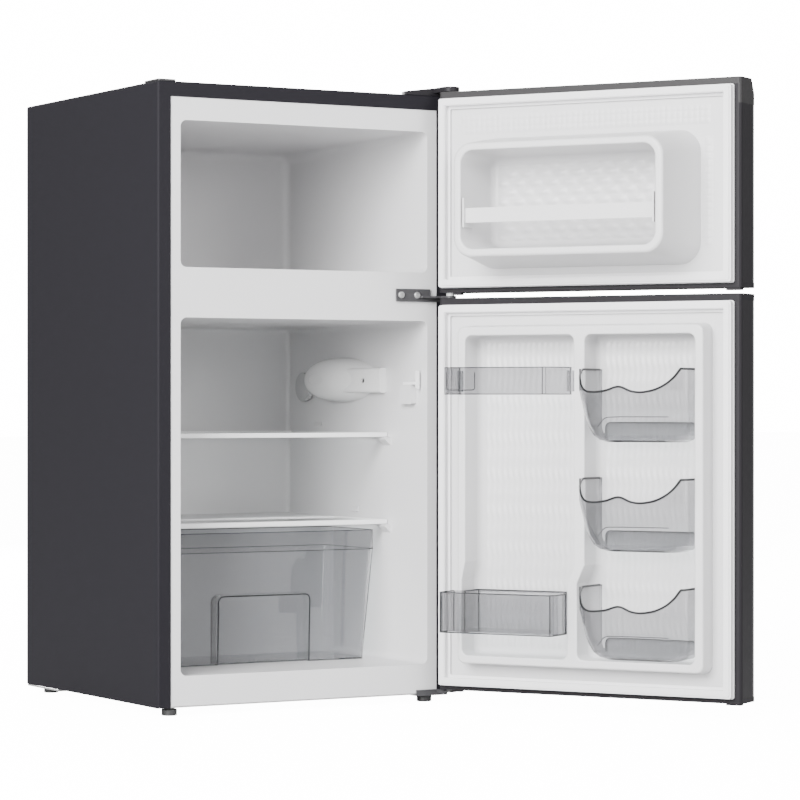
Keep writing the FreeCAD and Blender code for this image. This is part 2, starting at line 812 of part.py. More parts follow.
def grip_recess(grow):
    """Arched finger recess in the lower front."""
    y0 = front + crisper_front - 5
    y1 = front + crisper_front + 22 + grow
    return rounded_block("XZ", y0, y1, grip_x[0] - grow, grip_x[1] + grow,
                         base + crisper_low - 20, base + grip_high + grow, 9 + grow)


def crisper_drawer():
    outer = crisper_form(0).cut(grip_recess(0))
    inner = crisper_form(crisper_wall)
    inner = inner.fuse(rounded_block("XY", base + crisper_high - 1, base + crisper_high + 1,
                                     -171.5 + crisper_wall, 171.5 - crisper_wall,
                                     front + crisper_front + crisper_wall,
                                     front + crisper_back - crisper_wall, 14 - crisper_wall))
    return outer.cut(inner.cut(grip_recess(crisper_wall)))


# ---- doors, drawn shut; u runs from the hinge edge, p inwards from the inner face ----
def door_block(u0, u1, p0, p1, z0, z1):
    return block(door_edge - u1, door_edge - u0, door_face + p0, door_face + p1, base + z0, base + z1)


def door_ring(end, u0, u1, z0, z1):
    """One end of a loft over the door's inner face, at p = end."""
    return (door_face + end, door_edge - u1, door_edge - u0, base + z0, base + z1)


def door_frame(low, high, cap_low, cap_high):
    """Dark side strips with a return that frames the liner."""
    z0 = low + cap_low
    z1 = high - cap_high
    outer = door_block(0, door_width, -side_depth, 0, z0, z1)
    inner = door_block(1.2, door_width - 1.2, -side_depth - 1, -1.2, z0 - 1, z1 + 1)
    for radius, shape in ((5, "outer"), (3.8, "inner")):
        inset = 0 if shape == "outer" else 1.2
        tests = [edge_at(x=door_edge - inset, y=door_face - inset),
                 edge_at(x=-door_edge + inset, y=door_face - inset)]
        target = outer if shape == "outer" else inner
        rounded = round_edges(target, radius, lambda e: any(t(e) for t in tests))
        if shape == "outer":
            outer = rounded
        else:
            inner = rounded
    window = door_block(12, door_width - 12, -3, 1, low + 12, high - 14)
    return outer.cut(inner).cut(window)


def door_panel(low, high):
    """Front sheet with folded edges."""
    outer = door_block(0, door_width, -panel_depth, -side_depth, low, high)
    outer = round_edges(outer, 2.4, lambda e: edge_at(x=door_edge, y=door_face - panel_depth)(e)
                        or edge_at(x=-door_edge, y=door_face - panel_depth)(e))
    inner = door_block(0.8, door_width - 0.8, -panel_depth + 0.8, -side_depth + 1, low - 1, high + 1)
    return outer.cut(inner)


def pivot_bore(low, high):
    return post(hinge_x, hinge_y, base + low, base + high, 5.0)


def door_bushings(low, high):
    """Plastic bushes that run on the hinge pins."""
    bushes = []
    for z0, z1 in ((low, low + pin_reach + 1), (high - pin_reach - 1, high)):
        bush = pivot_bore(z0, z1)
        hole = post(hinge_x, hinge_y, base + z0 - 1, base + z1 + 1, pin_radius + pin_clearance)
        bushes.append(bush.cut(hole))
    return bushes


def cap_slab(z0, z1):
    slab = door_block(0, door_width, -cap_depth, 0, z0, z1)
    corners = [edge_at(x=sx * door_edge, y=door_face) for sx in (-1, 1)]
    slab = round_edges(slab, 5, lambda e: any(t(e) for t in corners))
    corners = [edge_at(x=sx * door_edge, y=door_face - cap_depth) for sx in (-1, 1)]
    return round_edges(slab, 2.4, lambda e: any(t(e) for t in corners))


def freezer_top_cap():
    """Handle cap: a deep front apron, sloping towards the top, with a finger trough behind it."""
    high = freezer_door_high
    slab = cap_slab(high - 9, high)
    apron = door_block(4, door_width - 4, -cap_depth, -12, high - 34, high - 8)
    ends = [door_block(u, u + 4, -cap_depth, 0, high - 34, high - 8) for u in (0, door_width - 4)]
    ends = [round_edges(e, 2.4, lambda edge: any(
        edge_at(x=sx * door_edge, y=door_face - cap_depth)(edge) for sx in (-1, 1))) for e in ends]
    ends = [round_edges(e, 3.9, lambda edge: any(
        edge_at(x=sx * door_edge, y=door_face)(edge) for sx in (-1, 1))) for e in ends]
    cap = joined([slab, apron] + ends)
    slope = polygon_block("YZ", -door_edge - 1, door_edge + 1, [
        (door_face - cap_depth - 1, base + high - 22), (door_face - cap_depth + 1.5, base + high - 20),
        (door_face - cap_depth + 12, base + high + 1), (door_face - cap_depth - 1, base + high + 1)])
    trough = rounded_block("XY", base + high - 22, base + high + 1, -105, 105,
                           door_face - 31, door_face - 15, 7)
    return cap.cut(slope).cut(trough).cut(pivot_bore(high - 13, high))


def plain_cap(z0, z1, lugs_down):
    """End cap with two small lugs on its under side when it is the lower one."""
    cap = cap_slab(z0, z1)
    if lugs_down:
        cap = joined([cap, door_block(24, 34, -9, -1, z0 - lugs_down, z0 + 1),
                      door_block(door_width - 22, door_width - 2, -12, -1.5, z0 - lugs_down, z0 + 1)])
    return cap.cut(pivot_bore(z0 - 1, z1 + 1))


def gasket(low, high):
    """Magnetic seal: a hollow bulb on a thin foot, running all round the inner face."""
    u0, u1 = 4.0, door_width - 9.5
    z0, z1 = low + 6.2, high - 9.3
    width = 11.0

    def ring(p0, p1, outer_inset, inner_inset):
        lofts = []
        for inset, corner in ((outer_inset, 3), (inner_inset, 2)):
            x0, x1 = door_edge - u1 + inset, door_edge - u0 - inset
            z_low, z_high = base + z0 + inset, base + z1 - inset
            wires = [rounded_wire("XZ", door_face + p, x0, x1, z_low, z_high, corner) for p in (p0, p1)]
            lofts.append(Part.makeLoft(wires, True, True))
        return lofts[0].cut(lofts[1])

    foot = ring(0, 2.2, 0, width + 4)
    bulb = ring(2.0, gasket_height - 1.5, 1.0, width)
    lip = ring(gasket_height - 1.6, gasket_height, 3.4, width - 1.0)
    hollow = ring(3.6, gasket_height - 2.6, 2.6, width - 1.6)
    return joined([foot, bulb, lip]).cut(hollow)


crest_round = 4.5
freezer_crest = 93.0
freezer_recess_floor = 8.0
fridge_crest = 27.0
fridge_recess_floor = -14.0
plate_face = -1.2


def freezer_ring(grow):
    """Outside of the deep frame moulded on the freezer door, drawn in by -grow."""
    g = grow
    near = door_ring(plate_face - 2, 57 - g, 387 + g, 580 - g, 757 + g)
    far = door_ring(freezer_crest + g, 71 - g, 373 + g, 592.6 - g, 743.5 + g)
    ring = tapered("XZ", [near, far], [30, 26])
    return round_edges(ring, crest_round + g, edge_at(y=door_face + freezer_crest + g))


def freezer_recess(grow):
    g = grow
    near = door_ring(freezer_recess_floor - g, 87 - g, 357 + g, 608 - g, 729 + g)
    far = door_ring(freezer_crest + 5, 81 - g, 363 + g, 602.5 - g, 734 + g)
    recess = tapered("XZ", [near, far], [16 + g, 18 + g])
    return round_edges(recess, 9 + g, edge_at(y=door_face + freezer_recess_floor - g))


def fridge_ring(grow):
    g = grow
    near = door_ring(plate_face - 2, 40.5 - g, 403.5 + g, 45 - g, 504 + g)
    far = door_ring(fridge_crest + g, 42.7 - g, 401.3 + g, 47.5 - g, 501.5 + g)
    ring = tapered("XZ", [near, far], [12, 10])
    return round_edges(ring, 3.0 + g / 2, edge_at(y=door_face + fridge_crest + g))


# left and right pockets of the fridge door: u of each side above and below the waist
pocket_sides = {"bottle": ((54.4, 216.0), (49.5, 206.0)), "can": ((232.0, 389.6), (221.0, 389.6))}
pocket_low = 58.5
pocket_high = 489.4
waist = (160.0, 184.0)


def pocket(name, grow):
    g = grow
    (u0, u1), (v0, v1) = pocket_sides[name]
    points = [(u0 - g, pocket_high + g), (u1 + g, pocket_high + g), (u1 + g, waist[1]), (v1 + g, waist[0]),
              (v1 + g, pocket_low - g), (v0 - g, pocket_low - g), (v0 - g, waist[0]), (u0 - g, waist[1])]
    if v1 == u1:
        points = [p for p in points if p != (u1 + g, waist[1]) and p != (v1 + g, waist[0])]
    flat = [(door_edge - u, base + z) for u, z in points]
    solid = polygon_block("XZ", door_face + fridge_recess_floor - g, door_face + fridge_crest + 5, flat)
    corners = [(u0 - g, pocket_high + g), (u1 + g, pocket_high + g), (v1 + g, pocket_low - g),
               (v0 - g, pocket_low - g)]
    tests = [edge_at(x=door_edge - u, z=base + z) for u, z in corners]
    solid = round_edges(solid, 9 + g, lambda e: any(t(e) for t in tests))
    return round_edges(solid, 8 + g, edge_at(y=door_face + fridge_recess_floor - g))


def door_plate(low, high):
    return door_block(5, door_width - 5, plate_face - liner_wall, plate_face, low + 8.5, high - 11)


def freezer_door_liner():
    body = door_plate(freezer_door_low, freezer_door_high).fuse(freezer_ring(0))
    core = freezer_ring(-liner_wall).cut(freezer_recess(liner_wall))
    core = core.cut(door_block(0, door_width, plate_face - 0.01, 200, 0, 10))
    body = body.cut(core).cut(freezer_recess(0)).removeSplitter()
    return soften_mouths(body, door_face + freezer_crest, 80, 364, 2.5)


def soften_mouths(body, y, u_low, u_high, radius):
    """Round the inner edges of a moulded frame's crest, between two places along the door."""
    def on_mouth(edge):
        box = edge.BoundBox
        level = abs(box.YMin - y) < 0.05 and abs(box.YMax - y) < 0.05
        return level and box.XMin > door_edge - u_high and box.XMax < door_edge - u_low
    return round_edges(body, radius, on_mouth)


def fridge_door_liner():
    body = door_plate(fridge_door_low, fridge_door_high).fuse(fridge_ring(0))
    core = fridge_ring(-liner_wall)
    for name in pocket_sides:
        body = body.fuse(pocket(name, liner_wall).common(
            door_block(0, door_width, -40, plate_face - liner_wall + 0.5, 0, 600)))
        core = core.cut(pocket(name, liner_wall))
    body = body.cut(core)
    for name in pocket_sides:
        body = body.cut(pocket(name, 0))
    return soften_mouths(body.removeSplitter(), door_face + fridge_crest, 49, 390.5, 2.0)


def door_foam(low, high, cap_low, cap_high, cap, liner_outside):
    """Insulation between liner and skin; it also fills the moulded frames of the liner."""
    foam = door_block(1.2, door_width - 1.2, -side_depth, -1.2, low + cap_low, high - cap_high)
    tests = [edge_at(x=sx * (door_edge - 1.2), y=door_face - 1.2) for sx in (-1, 1)]
    foam = round_edges(foam, 3.8, lambda e: any(t(e) for t in tests))
    front_fill = door_block(0.8, door_width - 0.8, -panel_depth + 0.8, -side_depth,
                            low + cap_low, high - cap_high)
    foam = foam.fuse(front_fill).cut(cap)
    return foam.fuse(liner_outside)


def freezer_door_foam():
    cap_z = (freezer_door_high - 34, freezer_door_high + 5)
    cap = door_block(-5, door_width + 5, -60, -12, *cap_z)
    cap = cap.fuse(door_block(-5, 4, -60, 5, *cap_z))
    cap = cap.fuse(door_block(door_width - 4, door_width + 5, -60, 5, *cap_z))
    filling = freezer_ring(-liner_wall).cut(freezer_recess(liner_wall))
    foam = door_foam(freezer_door_low, freezer_door_high, 7, 9, cap, filling)
    foam = foam.cut(freezer_door_liner()).cut(door_block(12, door_width - 12, plate_face, 0, 500, 900))
    bores = pivot_bore(freezer_door_low, freezer_door_low + 14).fuse(
        pivot_bore(freezer_door_high - 14, freezer_door_high))
    return largest(foam.cut(bores))


def fridge_door_foam():
    filling = fridge_ring(-liner_wall)
    for name in pocket_sides:
        filling = filling.cut(pocket(name, liner_wall))
    none = door_block(-5, -4, -60, 5, 0, 1)
    foam = door_foam(fridge_door_low, fridge_door_high, 7, 9, none, filling)
    for name in pocket_sides:
        foam = foam.cut(pocket(name, liner_wall))
    foam = foam.cut(fridge_door_liner())
    bores = pivot_bore(fridge_door_low, fridge_door_low + 14).fuse(
        pivot_bore(fridge_door_high - 14, fridge_door_high))
    return largest(foam.cut(bores))


def largest(shape):
    return max(shape.Solids, key=lambda solid: solid.Volume)


def freezer_retainer():
    """White bar across the freezer door's recess, with a plate at each end."""
    p0, p1 = freezer_crest - 9.5, freezer_crest - 6.5
    bar = door_block(84, 360, p0, p1, 638, 657.5)
    ends = [door_block(u, u + 2.2, freezer_crest - 30, freezer_crest - 2, 632, 671) for u in (83.6, 358.2)]
    return joined([bar] + ends)


def upper_guard():
    """Clear rail across the bottle pocket: bent strip with returns to the moulded frame."""
    outline = [(46.5, fridge_crest + 1), (46.5, 76.0), (199, 76.0), (214, fridge_crest + 1),
               (211.6, fridge_crest + 1), (197.4, 73.8), (48.7, 73.8), (48.7, fridge_crest + 1)]
    flat = [(door_edge - u, door_face + p) for u, p in outline]
    strip = polygon_block("XY", base + 410, base + 446.5, flat)
    outer = [edge_at(x=door_edge - u, y=door_face + 76.0) for u in (46.5, 199)]
    strip = round_edges(strip, 6, lambda e: any(t(e) for t in outer))
    pads = [door_block(44, 53, fridge_crest + 1, fridge_crest + 3.2, 414, 442),
            door_block(207, 218, fridge_crest + 1, fridge_crest + 3.2, 414, 442)]
    return joined([strip] + pads)


def lower_bin():
    """Clear bottle bin: a tray whose front part is wider than the pocket it sits in."""
    wall = 2.2

    def form(inset, z0, z1):
        wide = rounded_block("XY", base + z0, base + z1, door_edge - 207 + inset, door_edge - 38 - inset,
                             door_face + fridge_crest + 1.5 + inset, door_face + 76 - inset, 9 - inset)
        deep = rounded_block("XY", base + z0, base + z1, door_edge - 202.5 + inset, door_edge - 54.8 - inset,
                             door_face - 11.5 + inset, door_face + 60, 6 - inset)
        return wide.fuse(deep)

    return form(0, 91.7, 146).removeSplitter().cut(form(wall, 91.7 + wall, 150).removeSplitter())


rack_levels = {"top": 347.3, "middle": 203.5, "bottom": 61.0}
rack_height = 96.4


rack_sides = (236.5, 385.0)
rack_rear = -11.0
rack_corner = 22.0
rack_wall = 2.2
# sections of the rack: height, how far its sides come in, depth at the front
rack_sections = [(0.0, 22.0, 30.0), (3.0, 13.0, 34.5), (9.0, 6.5, 39.5), (20.0, 2.6, 45.5), (32.0, 0.8, 52.0),
                 (68.0, 0.0, 70.0), (96.4, 0.0, 70.0)]
# the front rim, seen from the front: place along the door, drop below the top
rack_rim = [(238.9, 0.0), (241.5, 13.0), (248.0, 25.0), (259.0, 30.5), (280.0, 29.0), (300.5, 23.6),
            (318.0, 29.5), (333.0, 31.0), (352.0, 27.5), (367.0, 20.5), (377.0, 11.0), (382.6, 0.0)]


def rack_section(z, u0, u1, p0, p1, corner):
    """Outline with square rear corners and round front corners."""
    x0, x1 = door_edge - u1, door_edge - u0
    y0, y1 = door_face + p0, door_face + p1
    c = corner * (1 - math.sqrt(0.5))
    places = [(x0, y0), (x1, y0), (x1, y1 - corner), (x1 - c, y1 - c), (x1 - corner, y1),
              (x0 + corner, y1), (x0 + c, y1 - c), (x0, y1 - corner)]
    v = [Vector(x, y, z) for x, y in places]
    edges = [Part.makeLine(v[0], v[1]), Part.makeLine(v[1], v[2]), Part.Arc(v[2], v[3], v[4]).toShape(),
             Part.makeLine(v[4], v[5]), Part.Arc(v[5], v[6], v[7]).toShape(), Part.makeLine(v[7], v[0])]
    return Part.Wire(edges)


def rack_form(z0, inset):
    """Pouch-like form: round lower corners and a front that leans in towards the bottom."""
    sections = []
    for height, shrink, depth in rack_sections:
        lift = inset if height == 0 else 0
        u0 = rack_sides[0] + shrink + inset
        u1 = rack_sides[1] - shrink - inset
        sections.append(rack_section(base + z0 + height + lift, u0, u1, rack_rear + inset, depth - inset,
                                     rack_corner - inset))
    return Part.makeLoft(sections, True, True)


def can_rack(z0):
    """Clear rack for cans: full-height sides, a scalloped front rim and a low back tab."""
    top_z = base + z0 + rack_height
    inner = rack_form(z0, rack_wall)
    mouth = Part.Face(rack_section(top_z, rack_sides[0] + rack_wall, rack_sides[1] - rack_wall,
                                   rack_rear + rack_wall, 70 - rack_wall, rack_corner - rack_wall))
    shell = rack_form(z0, 0).cut(inner).cut(mouth.extrude(Vector(0, 0, 5)))
    shell = shell.cut(door_block(rack_sides[0] + 4, rack_sides[1] - 4,
                                 rack_rear - 1, rack_rear + rack_wall + 0.5, z0 + 12, z0 + 200))
    rim = [Vector(door_edge - u, door_face + 47.9, top_z - drop) for u, drop in rack_rim]
    curve = Part.BSplineCurve()
    curve.interpolate(rim)
    lid = [rim[-1], rim[-1] + Vector(0, 0, 20), rim[0] + Vector(0, 0, 20), rim[0]]
    edges = [curve.toShape()] + [Part.makeLine(a, b) for a, b in zip(lid, lid[1:])]
    scoop = Part.Face(Part.Wire(edges)).extrude(Vector(0, 40, 0))
    tab = rounded_block("XZ", door_face + rack_rear, door_face + rack_rear + rack_wall, door_edge - 375.5,
                        door_edge - 246, base + z0 + 4, base + z0 + 26, 7.5)
    return largest(shell.cut(scoop).fuse(tab).removeSplitter())


# ---- write every part ----
def main():
    os.makedirs("parts", exist_ok=True)
    bundle = Part.makeCompound

    save("outer_shell", outer_shell().cut(joined(top_screws())))
    save("cabinet_liner", cabinet_liner())
    save("cabinet_foam", cabinet_foam())
    save("back_panel", back_panel())
    save("bottom_panel", bottom_panel())
    save("rear_feet", bundle(rear_feet()))
    for side, (x, y) in front_feet.items():
        save("front_" + side + "_foot", levelling_foot(x, y))

    save("compressor_base", compressor_base())
    save("compressor", compressor())
    save("compressor_grommets", bundle(compressor_grommets()))
    save("compressor_bolts", bundle(compressor_bolts()))
    save("relay_box", relay_box())
    save("filter_dryer", filter_dryer())
    save("refrigerant_tubes", bundle(refrigerant_tubes()))
    save("drain_pan", drain_pan())
    save("drain_tube", drain_tube())
    save("cord_gland", cord_gland())
    save("wall_spacers", bundle(wall_spacers()))
    save("condenser_coil", bundle(condenser_coil()))
    save("evaporator_coil", evaporator_coil())

    save("top_hinge", top_hinge())
    save("top_hinge_cover", top_hinge_cover())
    save("top_corner_cover", top_corner_cover())
    save("middle_hinge", middle_hinge())
    save("bottom_hinge", bottom_hinge())
    save("hinge_screws", bundle(hinge_screws()))
    save("hinge_washers", bundle(hinge_washers()))

    save("lamp_housing", lamp_housing())
    save("lamp_bulb", lamp_bulb())
    save("thermostat_knob", thermostat_knob())
    save("switch_housing", switch_housing())
    save("switch_plunger", switch_plunger())

    for name in shelf_tops:
        save(name + "_shelf_glass", shelf_glass(name))
        save(name + "_shelf_trim", shelf_trim(name))
    save("crisper_drawer", crisper_drawer())

    cap = freezer_top_cap()
    save("freezer_door_top_cap", cap, opened=True)
    low_cap = plain_cap(freezer_door_low, freezer_door_low + 7, 3.6)
    save("freezer_door_bottom_cap", low_cap, opened=True)
    save("freezer_door_frame", door_frame(freezer_door_low, freezer_door_high, 7, 9).cut(cap), opened=True)
    save("freezer_door_panel", door_panel(freezer_door_low + 7, freezer_door_high - 34), opened=True)
    save("freezer_door_foam", freezer_door_foam(), opened=True)
    save("freezer_door_liner", freezer_door_liner(), opened=True)
    save("freezer_door_gasket", gasket(freezer_door_low, freezer_door_high), opened=True)
    save("freezer_door_bushings", bundle(door_bushings(freezer_door_low, freezer_door_high)), opened=True)
    save("freezer_retainer", freezer_retainer(), opened=True)

    save("fridge_door_top_cap", plain_cap(fridge_door_high - 9, fridge_door_high, 0), opened=True)
    save("fridge_door_bottom_cap", plain_cap(fridge_door_low, fridge_door_low + 7, 2.2), opened=True)
    save("fridge_door_frame", door_frame(fridge_door_low, fridge_door_high, 7, 9), opened=True)
    save("fridge_door_panel", door_panel(fridge_door_low + 7, fridge_door_high - 9), opened=True)
    save("fridge_door_foam", fridge_door_foam(), opened=True)
    save("fridge_door_liner", fridge_door_liner(), opened=True)
    save("fridge_door_gasket", gasket(fridge_door_low, fridge_door_high), opened=True)
    save("fridge_door_bushings", bundle(door_bushings(fridge_door_low, fridge_door_high)), opened=True)
    save("door_upper_guard", upper_guard(), opened=True)
    save("door_lower_bin", lower_bin(), opened=True)
    for name, z0 in rack_levels.items():
        save("can_rack_" + name, can_rack(z0), opened=True)


main()
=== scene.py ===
import json
import math
import bpy
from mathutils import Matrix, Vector


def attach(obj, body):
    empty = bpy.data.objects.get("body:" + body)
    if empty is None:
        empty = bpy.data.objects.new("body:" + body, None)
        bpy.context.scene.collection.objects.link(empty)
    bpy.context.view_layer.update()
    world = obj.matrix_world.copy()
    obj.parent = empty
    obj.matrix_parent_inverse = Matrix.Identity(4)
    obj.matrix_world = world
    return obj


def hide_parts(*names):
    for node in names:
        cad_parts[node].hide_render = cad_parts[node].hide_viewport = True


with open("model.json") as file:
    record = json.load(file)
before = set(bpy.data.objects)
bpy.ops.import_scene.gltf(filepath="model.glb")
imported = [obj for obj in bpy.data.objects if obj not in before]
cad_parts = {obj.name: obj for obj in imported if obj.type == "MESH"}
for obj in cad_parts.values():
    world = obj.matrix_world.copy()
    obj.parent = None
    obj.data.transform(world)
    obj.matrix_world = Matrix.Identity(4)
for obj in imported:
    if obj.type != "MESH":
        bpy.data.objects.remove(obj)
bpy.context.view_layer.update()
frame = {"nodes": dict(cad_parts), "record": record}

nodes = frame["nodes"]
print("frame loaded:", len(nodes), "nodes")


# camera and light
cameraSet = {
    "place": (-1.9896, -3.8703, 0.4116),
    "turn": -30.26,      # degrees about Z from looking straight back
    "lens": 139.8,
    "shiftY": 0.002,
}


def addCamera():
    data = bpy.data.cameras.new("photoCamera")
    data.lens = cameraSet["lens"]
    data.sensor_width = 36
    data.shift_y = cameraSet["shiftY"]
    data.clip_end = 100
    camera = bpy.data.objects.new("photoCamera", data)
    camera.location = cameraSet["place"]
    camera.rotation_euler = (math.radians(90), 0, math.radians(cameraSet["turn"]))
    bpy.context.scene.collection.objects.link(camera)
    bpy.context.scene.camera = camera


lightSet = {
    "fill": 0.57,        # light from all round
    "backdrop": 16.0,    # the pale room seen behind the object
    "softboxes": [
        # name, place, aim, size, watts
        ("keyBox", (-3.2, -2.3, 1.9), (0.1, -0.2, 0.45), 2.6, 585),
        ("frontBox", (0.9, -4.3, 1.9), (0.0, 0.0, 0.5), 2.0, 120),
        ("rimBox", (2.4, 1.8, 2.6), (0.0, 0.0, 0.5), 2.0, 60),
        ("rearBox", (0.8, 4.2, 1.6), (0.0, 0.0, 0.4), 2.0, 170),
    ],
}


def addLights():
    world = bpy.data.worlds.new("studioWorld")
    world.use_nodes = True
    background = world.node_tree.nodes["Background"]
    background.inputs["Color"].default_value = (1, 1, 1, 1)
    background.inputs["Strength"].default_value = lightSet["fill"]
    tree = world.node_tree
    seen = tree.nodes.new("ShaderNodeBackground")
    seen.inputs["Color"].default_value = (1, 1, 1, 1)
    seen.inputs["Strength"].default_value = lightSet["backdrop"]
    rays = tree.nodes.new("ShaderNodeLightPath")
    mix = tree.nodes.new("ShaderNodeMixShader")
    output = tree.nodes["World Output"]
    tree.links.new(rays.outputs["Is Camera Ray"], mix.inputs[0])
    tree.links.new(background.outputs[0], mix.inputs[1])
    tree.links.new(seen.outputs[0], mix.inputs[2])
    tree.links.new(mix.outputs[0], output.inputs["Surface"])
    bpy.context.scene.world = world
    for name, place, aim, size, watts in lightSet["softboxes"]:
        data = bpy.data.lights.new(name, "AREA")
        data.shape = "SQUARE"
        data.size = size
        data.energy = watts
        lamp = bpy.data.objects.new(name, data)
        lamp.location = place
        direction = Vector(aim) - Vector(place)
        lamp.rotation_euler = direction.to_track_quat("-Z", "Y").to_euler()
        bpy.context.scene.collection.objects.link(lamp)


addCamera()
addLights()
print("camera and lights placed")


# shared node groups
def socketIn(tree, name, kind, value=None):
    item = tree.interface.new_socket(name=name, in_out="INPUT", socket_type=kind)
    if value is not None:
        item.default_value = value
    return item


def newGroup(name, inputs, outputs):
    tree = bpy.data.node_groups.new(name, "ShaderNodeTree")
    for label, kind, value in inputs:
        socketIn(tree, label, kind, value)
    for label, kind in outputs:
        tree.interface.new_socket(name=label, in_out="OUTPUT", socket_type=kind)
    start = tree.nodes.new("NodeGroupInput")
    end = tree.nodes.new("NodeGroupOutput")
    start.location = (-700, 0)
    end.location = (500, 0)
    return tree, start, end


def node(tree, kind, place=(0, 0), **settings):
    made = tree.nodes.new(kind)
    made.location = place
    for key, value in settings.items():
        setattr(made, key, value)
    return made


def makeGrainGroup():
    # moulding or paint texture: two sizes of noise, as a height and a bumped normal
    tree, start, end = newGroup(
        "surfaceGrain",
        [("Vector", "NodeSocketVector", None), ("Scale", "NodeSocketFloat", 600.0),
         ("Coarse", "NodeSocketFloat", 0.3), ("Depth", "NodeSocketFloat", 0.2)],
        [("Height", "NodeSocketFloat"), ("Normal", "NodeSocketVector")])
    fine = node(tree, "ShaderNodeTexNoise", (-450, 120))
    fine.inputs["Detail"].default_value = 3.0
    coarse = node(tree, "ShaderNodeTexNoise", (-450, -160))
    coarse.inputs["Detail"].default_value = 2.0
    smaller = node(tree, "ShaderNodeMath", (-600, -160), operation="MULTIPLY")
    smaller.inputs[1].default_value = 0.12
    blendNode = node(tree, "ShaderNodeMix", (-200, 0), data_type="FLOAT")
    bump = node(tree, "ShaderNodeBump", (150, -80))
    bump.inputs["Distance"].default_value = 0.0006
    link = tree.links.new
    link(start.outputs["Vector"], fine.inputs["Vector"])
    link(start.outputs["Vector"], coarse.inputs["Vector"])
    link(start.outputs["Scale"], fine.inputs["Scale"])
    link(start.outputs["Scale"], smaller.inputs[0])
    link(smaller.outputs[0], coarse.inputs["Scale"])
    link(start.outputs["Coarse"], blendNode.inputs["Factor"])
    link(fine.outputs[0], blendNode.inputs["A"])
    link(coarse.outputs[0], blendNode.inputs["B"])
    link(blendNode.outputs["Result"], bump.inputs["Height"])
    link(start.outputs["Depth"], bump.inputs["Strength"])
    link(blendNode.outputs["Result"], end.inputs["Height"])
    link(bump.outputs["Normal"], end.inputs["Normal"])
    return tree


def makeToneGroup():
    # slow colour and gloss variation over a surface
    tree, start, end = newGroup(
        "toneDrift",
        [("Vector", "NodeSocketVector", None), ("Color", "NodeSocketColor", (0.5, 0.5, 0.5, 1)),
         ("Amount", "NodeSocketFloat", 0.05), ("Scale", "NodeSocketFloat", 8.0),
         ("Roughness", "NodeSocketFloat", 0.4), ("Gloss drift", "NodeSocketFloat", 0.06)],
        [("Color", "NodeSocketColor"), ("Roughness", "NodeSocketFloat")])
    noise = node(tree, "ShaderNodeTexNoise", (-450, 0))
    noise.inputs["Detail"].default_value = 4.0
    centred = node(tree, "ShaderNodeMath", (-250, 0), operation="SUBTRACT")
    centred.inputs[1].default_value = 0.5
    amount = node(tree, "ShaderNodeMath", (-80, 80), operation="MULTIPLY_ADD")
    amount.inputs[2].default_value = 1.0
    tint = node(tree, "ShaderNodeVectorMath", (120, 80), operation="SCALE")
    gloss = node(tree, "ShaderNodeMath", (-80, -120), operation="MULTIPLY_ADD")
    link = tree.links.new
    link(start.outputs["Vector"], noise.inputs["Vector"])
    link(start.outputs["Scale"], noise.inputs["Scale"])
    link(noise.outputs[0], centred.inputs[0])
    link(centred.outputs[0], amount.inputs[0])
    link(start.outputs["Amount"], amount.inputs[1])
    link(start.outputs["Color"], tint.inputs[0])
    link(amount.outputs[0], tint.inputs["Scale"])
    link(centred.outputs[0], gloss.inputs[0])
    link(start.outputs["Gloss drift"], gloss.inputs[1])
    link(start.outputs["Roughness"], gloss.inputs[2])
    link(tint.outputs[0], end.inputs["Color"])
    link(gloss.outputs[0], end.inputs["Roughness"])
    return tree


def makeBrushGroup():
    # brushed metal: noise drawn out along one direction, set by the stretch vector
    tree, start, end = newGroup(
        "brushedLines",
        [("Vector", "NodeSocketVector", None), ("Stretch", "NodeSocketVector", (4.0, 4.0, 900.0)),
         ("Depth", "NodeSocketFloat", 0.15), ("Roughness", "NodeSocketFloat", 0.32)],
        [("Height", "NodeSocketFloat"), ("Roughness", "NodeSocketFloat"), ("Normal", "NodeSocketVector")])
    stretch = node(tree, "ShaderNodeVectorMath", (-500, 0), operation="MULTIPLY")
    noise = node(tree, "ShaderNodeTexNoise", (-300, 0))
    noise.inputs["Scale"].default_value = 1.0
    noise.inputs["Detail"].default_value = 4.0
    rough = node(tree, "ShaderNodeMath", (-50, -120), operation="MULTIPLY_ADD")
    rough.inputs[1].default_value = 0.16
    bump = node(tree, "ShaderNodeBump", (150, 80))
    bump.inputs["Distance"].default_value = 0.0003
    link = tree.links.new
    link(start.outputs["Vector"], stretch.inputs[0])
    link(start.outputs["Stretch"], stretch.inputs[1])
    link(stretch.outputs[0], noise.inputs["Vector"])
    link(noise.outputs[0], rough.inputs[0])
    link(start.outputs["Roughness"], rough.inputs[2])
    link(noise.outputs[0], bump.inputs["Height"])
    link(start.outputs["Depth"], bump.inputs["Strength"])
    link(noise.outputs[0], end.inputs["Height"])
    link(rough.outputs[0], end.inputs["Roughness"])
    link(bump.outputs["Normal"], end.inputs["Normal"])
    return tree


